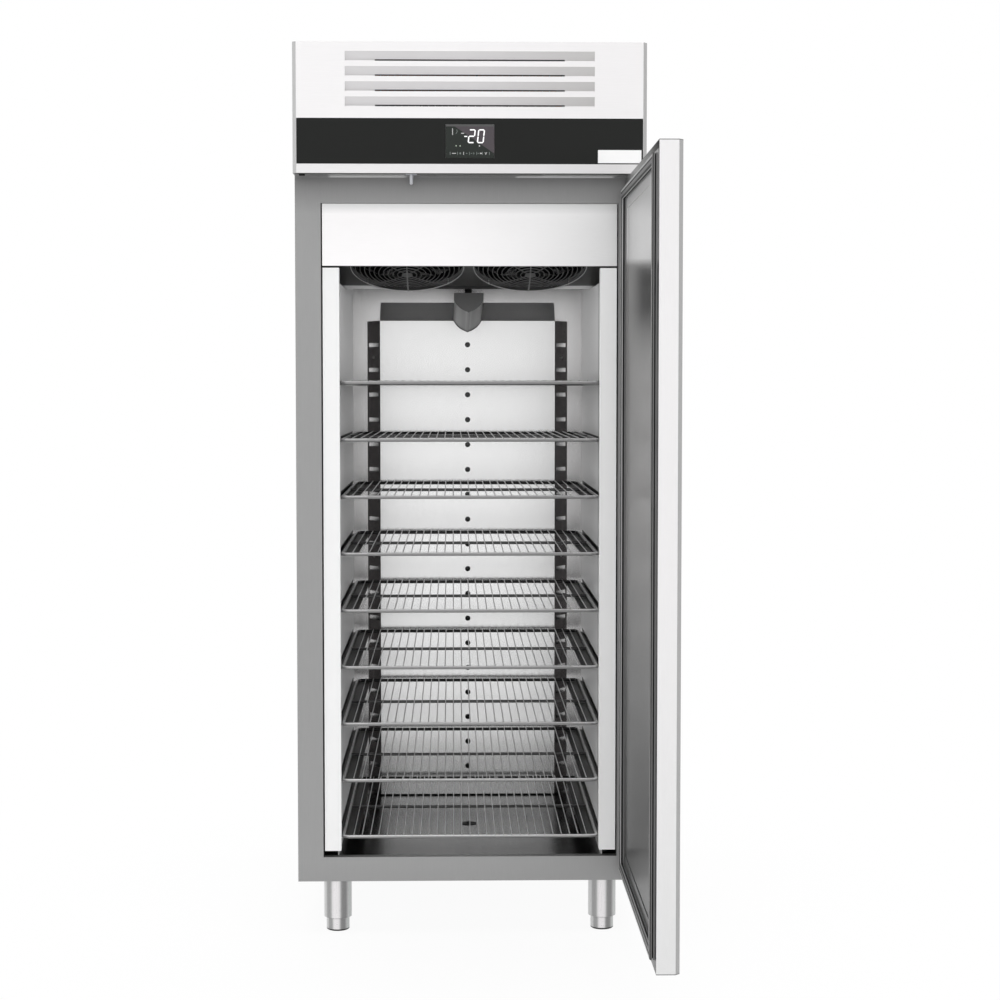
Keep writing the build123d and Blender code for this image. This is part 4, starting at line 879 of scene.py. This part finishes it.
# The darker and lighter strips are copies of the one rubber: painted shade in the grooves and on shaded
# slopes, and painted highlights on lit crowns
# Distance in from the ring's outer edge, height over the door's inner face, look of the strip that follows
GASKET_PROFILE = [
    (1.0, 0.0, "gasket_rubber"),
    (0.3, 0.6, "gasket_rubber"),
    (0.3, 3.6, "seal_shaded"),
    (1.0, 4.0, "seal_shaded"),
    (3.2, 4.2, "seal_shaded"),
    (4.0, 4.9, "seal_shaded"),
    (3.2, 5.6, "seal_shaded"),
    (1.2, 5.8, "seal_shaded"),
    (0.2, 6.4, "gasket_rubber"),
    (0.0, 8.6, "seal_shaded"),
    (0.5, 10.0, "seal_shaded"),
    (2.0, 10.9, "seal_lit"),
    (5.0, 11.1, "seal_lit"),
    (6.6, 10.7, "seal_shaded"),
    (7.6, 9.7, "seal_shaded"),
    (8.4, 9.2, "seal_shaded"),
    (9.2, 9.7, "seal_shaded"),
    (10.2, 10.7, "gasket_rubber"),
    (12.5, 11.15, "gasket_rubber"),
    (18.0, 11.15, "seal_shaded"),
    (20.6, 10.7, "seal_shaded"),
    (21.8, 9.6, "seal_lit"),
    (22.0, 7.2, "seal_shaded"),
    (21.2, 6.0, "seal_shaded"),
    (19.4, 5.5, "seal_shaded"),
    (18.6, 4.3, "seal_shaded"),
    (19.4, 3.2, "seal_shaded"),
    (21.2, 3.0, "gasket_rubber"),
    (21.7, 2.4, "gasket_rubber"),
    (21.7, 0.6, "gasket_rubber"),
    (21.0, 0.0, "gasket_rubber"),
]


def opened(x, y, z):
    """A place on the closed door, carried to the open door of the rest pose."""
    return ((HINGE[0] - (y - HINGE[1])) * MM, (HINGE[1] + (x - HINGE[0])) * MM, z * MM)


def seal_ring():
    vertices = []
    faces = []
    count = len(GASKET_PROFILE)
    for sign_x, sign_z in ((-1, -1), (1, -1), (1, 1), (-1, 1)):
        for inward, height, look in GASKET_PROFILE:
            x = sign_x * (HALF_WIDTH - GASKET_INSET - inward)
            if sign_z < 0:
                z = DOOR_BOTTOM + GASKET_INSET + inward
            else:
                z = DOOR_TOP - GASKET_INSET - inward
            vertices.append(opened(x, DOOR_INNER_Y + height, z))
    for corner in range(4):
        here = corner * count
        following = (corner + 1) % 4 * count
        for i in range(count):
            j = (i + 1) % count
            faces.append((here + i, here + j, following + j, following + i))
    piece = mesh_object("door_seal", vertices, faces, "gasket_rubber")
    strips = ("gasket_rubber", "seal_shaded", "seal_lit")
    for look in strips[1:]:
        piece.data.materials.append(materials[look])
    for face in piece.data.polygons:
        face.material_index = strips.index(GASKET_PROFILE[face.index % count][2])
    return piece


seal = seal_ring()
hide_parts("door_gasket")
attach(seal, "door")


# Floor, world, lamps and camera. Places and sizes are in metres, powers in watts.

FLOOR_HALF = 30.0
FLOOR_GLOW_START = 0.6
FLOOR_GLOW_END = 1.8
FLOOR_GLOW_LEAST = 0.93
WORLD_STRENGTH = 0.25
WHITE_STRENGTH = 1.0
WHITE = (1.0, 1.0, 1.0, 1.0)

LAMP_AIM = (0.0, 0.0, 1.0)
# name, place, width and height, power
LAMPS = [
    ("front_soft", (-0.8, -9.0, 2.6), (8.0, 5.0), 390.0),
    ("top_soft", (0.0, -0.5, 6.0), (5.0, 5.0), 250.0),
    ("left_soft", (-7.0, 0.0, 2.2), (5.0, 4.0), 150.0),
    ("right_soft", (7.0, 0.0, 2.2), (5.0, 4.0), 150.0),
    ("back_soft", (0.0, 7.5, 2.4), (6.0, 4.0), 330.0),
]

CAMERA_PLACE = (-0.03843, -5.11164, 1.25624)
CAMERA_TILT_DOWN = 3.09
CAMERA_TURN_RIGHT = 1.30
FOCAL_LENGTH_PIXELS = 2067.21
SENSOR_WIDTH = 36.0
IMAGE_WIDTH = 1000.0


def make_floor():
    """A pale floor that keeps the shadow near the object and glows white further out."""
    tree, shader, output = new_material("floor_pale")
    shader.inputs["Base Color"].default_value = (0.9, 0.9, 0.9, 1.0)
    shader.inputs["Roughness"].default_value = 0.9
    shader.inputs["Specular IOR Level"].default_value = 0.1
    glow = tree.nodes.new("ShaderNodeEmission")
    glow.inputs["Color"].default_value = WHITE
    glow.inputs["Strength"].default_value = WHITE_STRENGTH
    distance = tree.nodes.new("ShaderNodeVectorMath")
    distance.operation = "LENGTH"
    tree.links.new(object_coordinates(tree), distance.inputs[0])
    from_middle = distance.outputs["Value"]
    outer = map_range(tree, from_middle, FLOOR_GLOW_START, FLOOR_GLOW_END, FLOOR_GLOW_LEAST, 1.0)
    glowing = combined(tree, "MULTIPLY", rays_of(tree, "Is Camera Ray", "Is Glossy Ray"), outer)
    mix_surface(tree, glowing, shader.outputs["BSDF"], glow.outputs["Emission"], output)
    half = FLOOR_HALF
    mesh = bpy.data.meshes.new("floor")
    corners = [(-half, -half, 0), (half, -half, 0), (half, half, 0), (-half, half, 0)]
    mesh.from_pydata(corners, [], [(0, 1, 2, 3)])
    mesh.materials.append(materials["floor_pale"])
    add_object("floor", mesh)


def background(tree, strength):
    node = tree.nodes.new("ShaderNodeBackground")
    node.inputs["Color"].default_value = WHITE
    node.inputs["Strength"].default_value = strength
    return node.outputs["Background"]


def make_world():
    """An even pale world that camera, glossy and transmission rays see as white."""
    world = bpy.data.worlds.new("studio")
    world.use_nodes = True
    tree = world.node_tree
    tree.nodes.clear()
    output = tree.nodes.new("ShaderNodeOutputWorld")
    seen = rays_of(tree, "Is Camera Ray", "Is Glossy Ray", "Is Transmission Ray")
    mix_surface(tree, seen, background(tree, WORLD_STRENGTH), background(tree, WHITE_STRENGTH), output)
    bpy.context.scene.world = world


def area_light(name, place, size, power):
    data = bpy.data.lights.new(name, "AREA")
    data.shape = "RECTANGLE"
    data.size, data.size_y = size
    data.energy = power
    light = add_object(name, data)
    light.visible_glossy = False
    light.location = place
    direction = Vector(LAMP_AIM) - Vector(place)
    light.rotation_euler = direction.to_track_quat("-Z", "Y").to_euler()


def make_camera():
    data = bpy.data.cameras.new("camera")
    data.sensor_width = SENSOR_WIDTH
    data.lens = FOCAL_LENGTH_PIXELS * SENSOR_WIDTH / IMAGE_WIDTH
    camera = add_object("camera", data)
    camera.location = CAMERA_PLACE
    camera.rotation_euler = (math.radians(90.0 - CAMERA_TILT_DOWN), 0.0, math.radians(-CAMERA_TURN_RIGHT))
    bpy.context.scene.camera = camera


make_floor()
make_world()
for lamp in LAMPS:
    area_light(*lamp)
make_camera()
bpy.context.scene.view_settings.view_transform = "Standard"
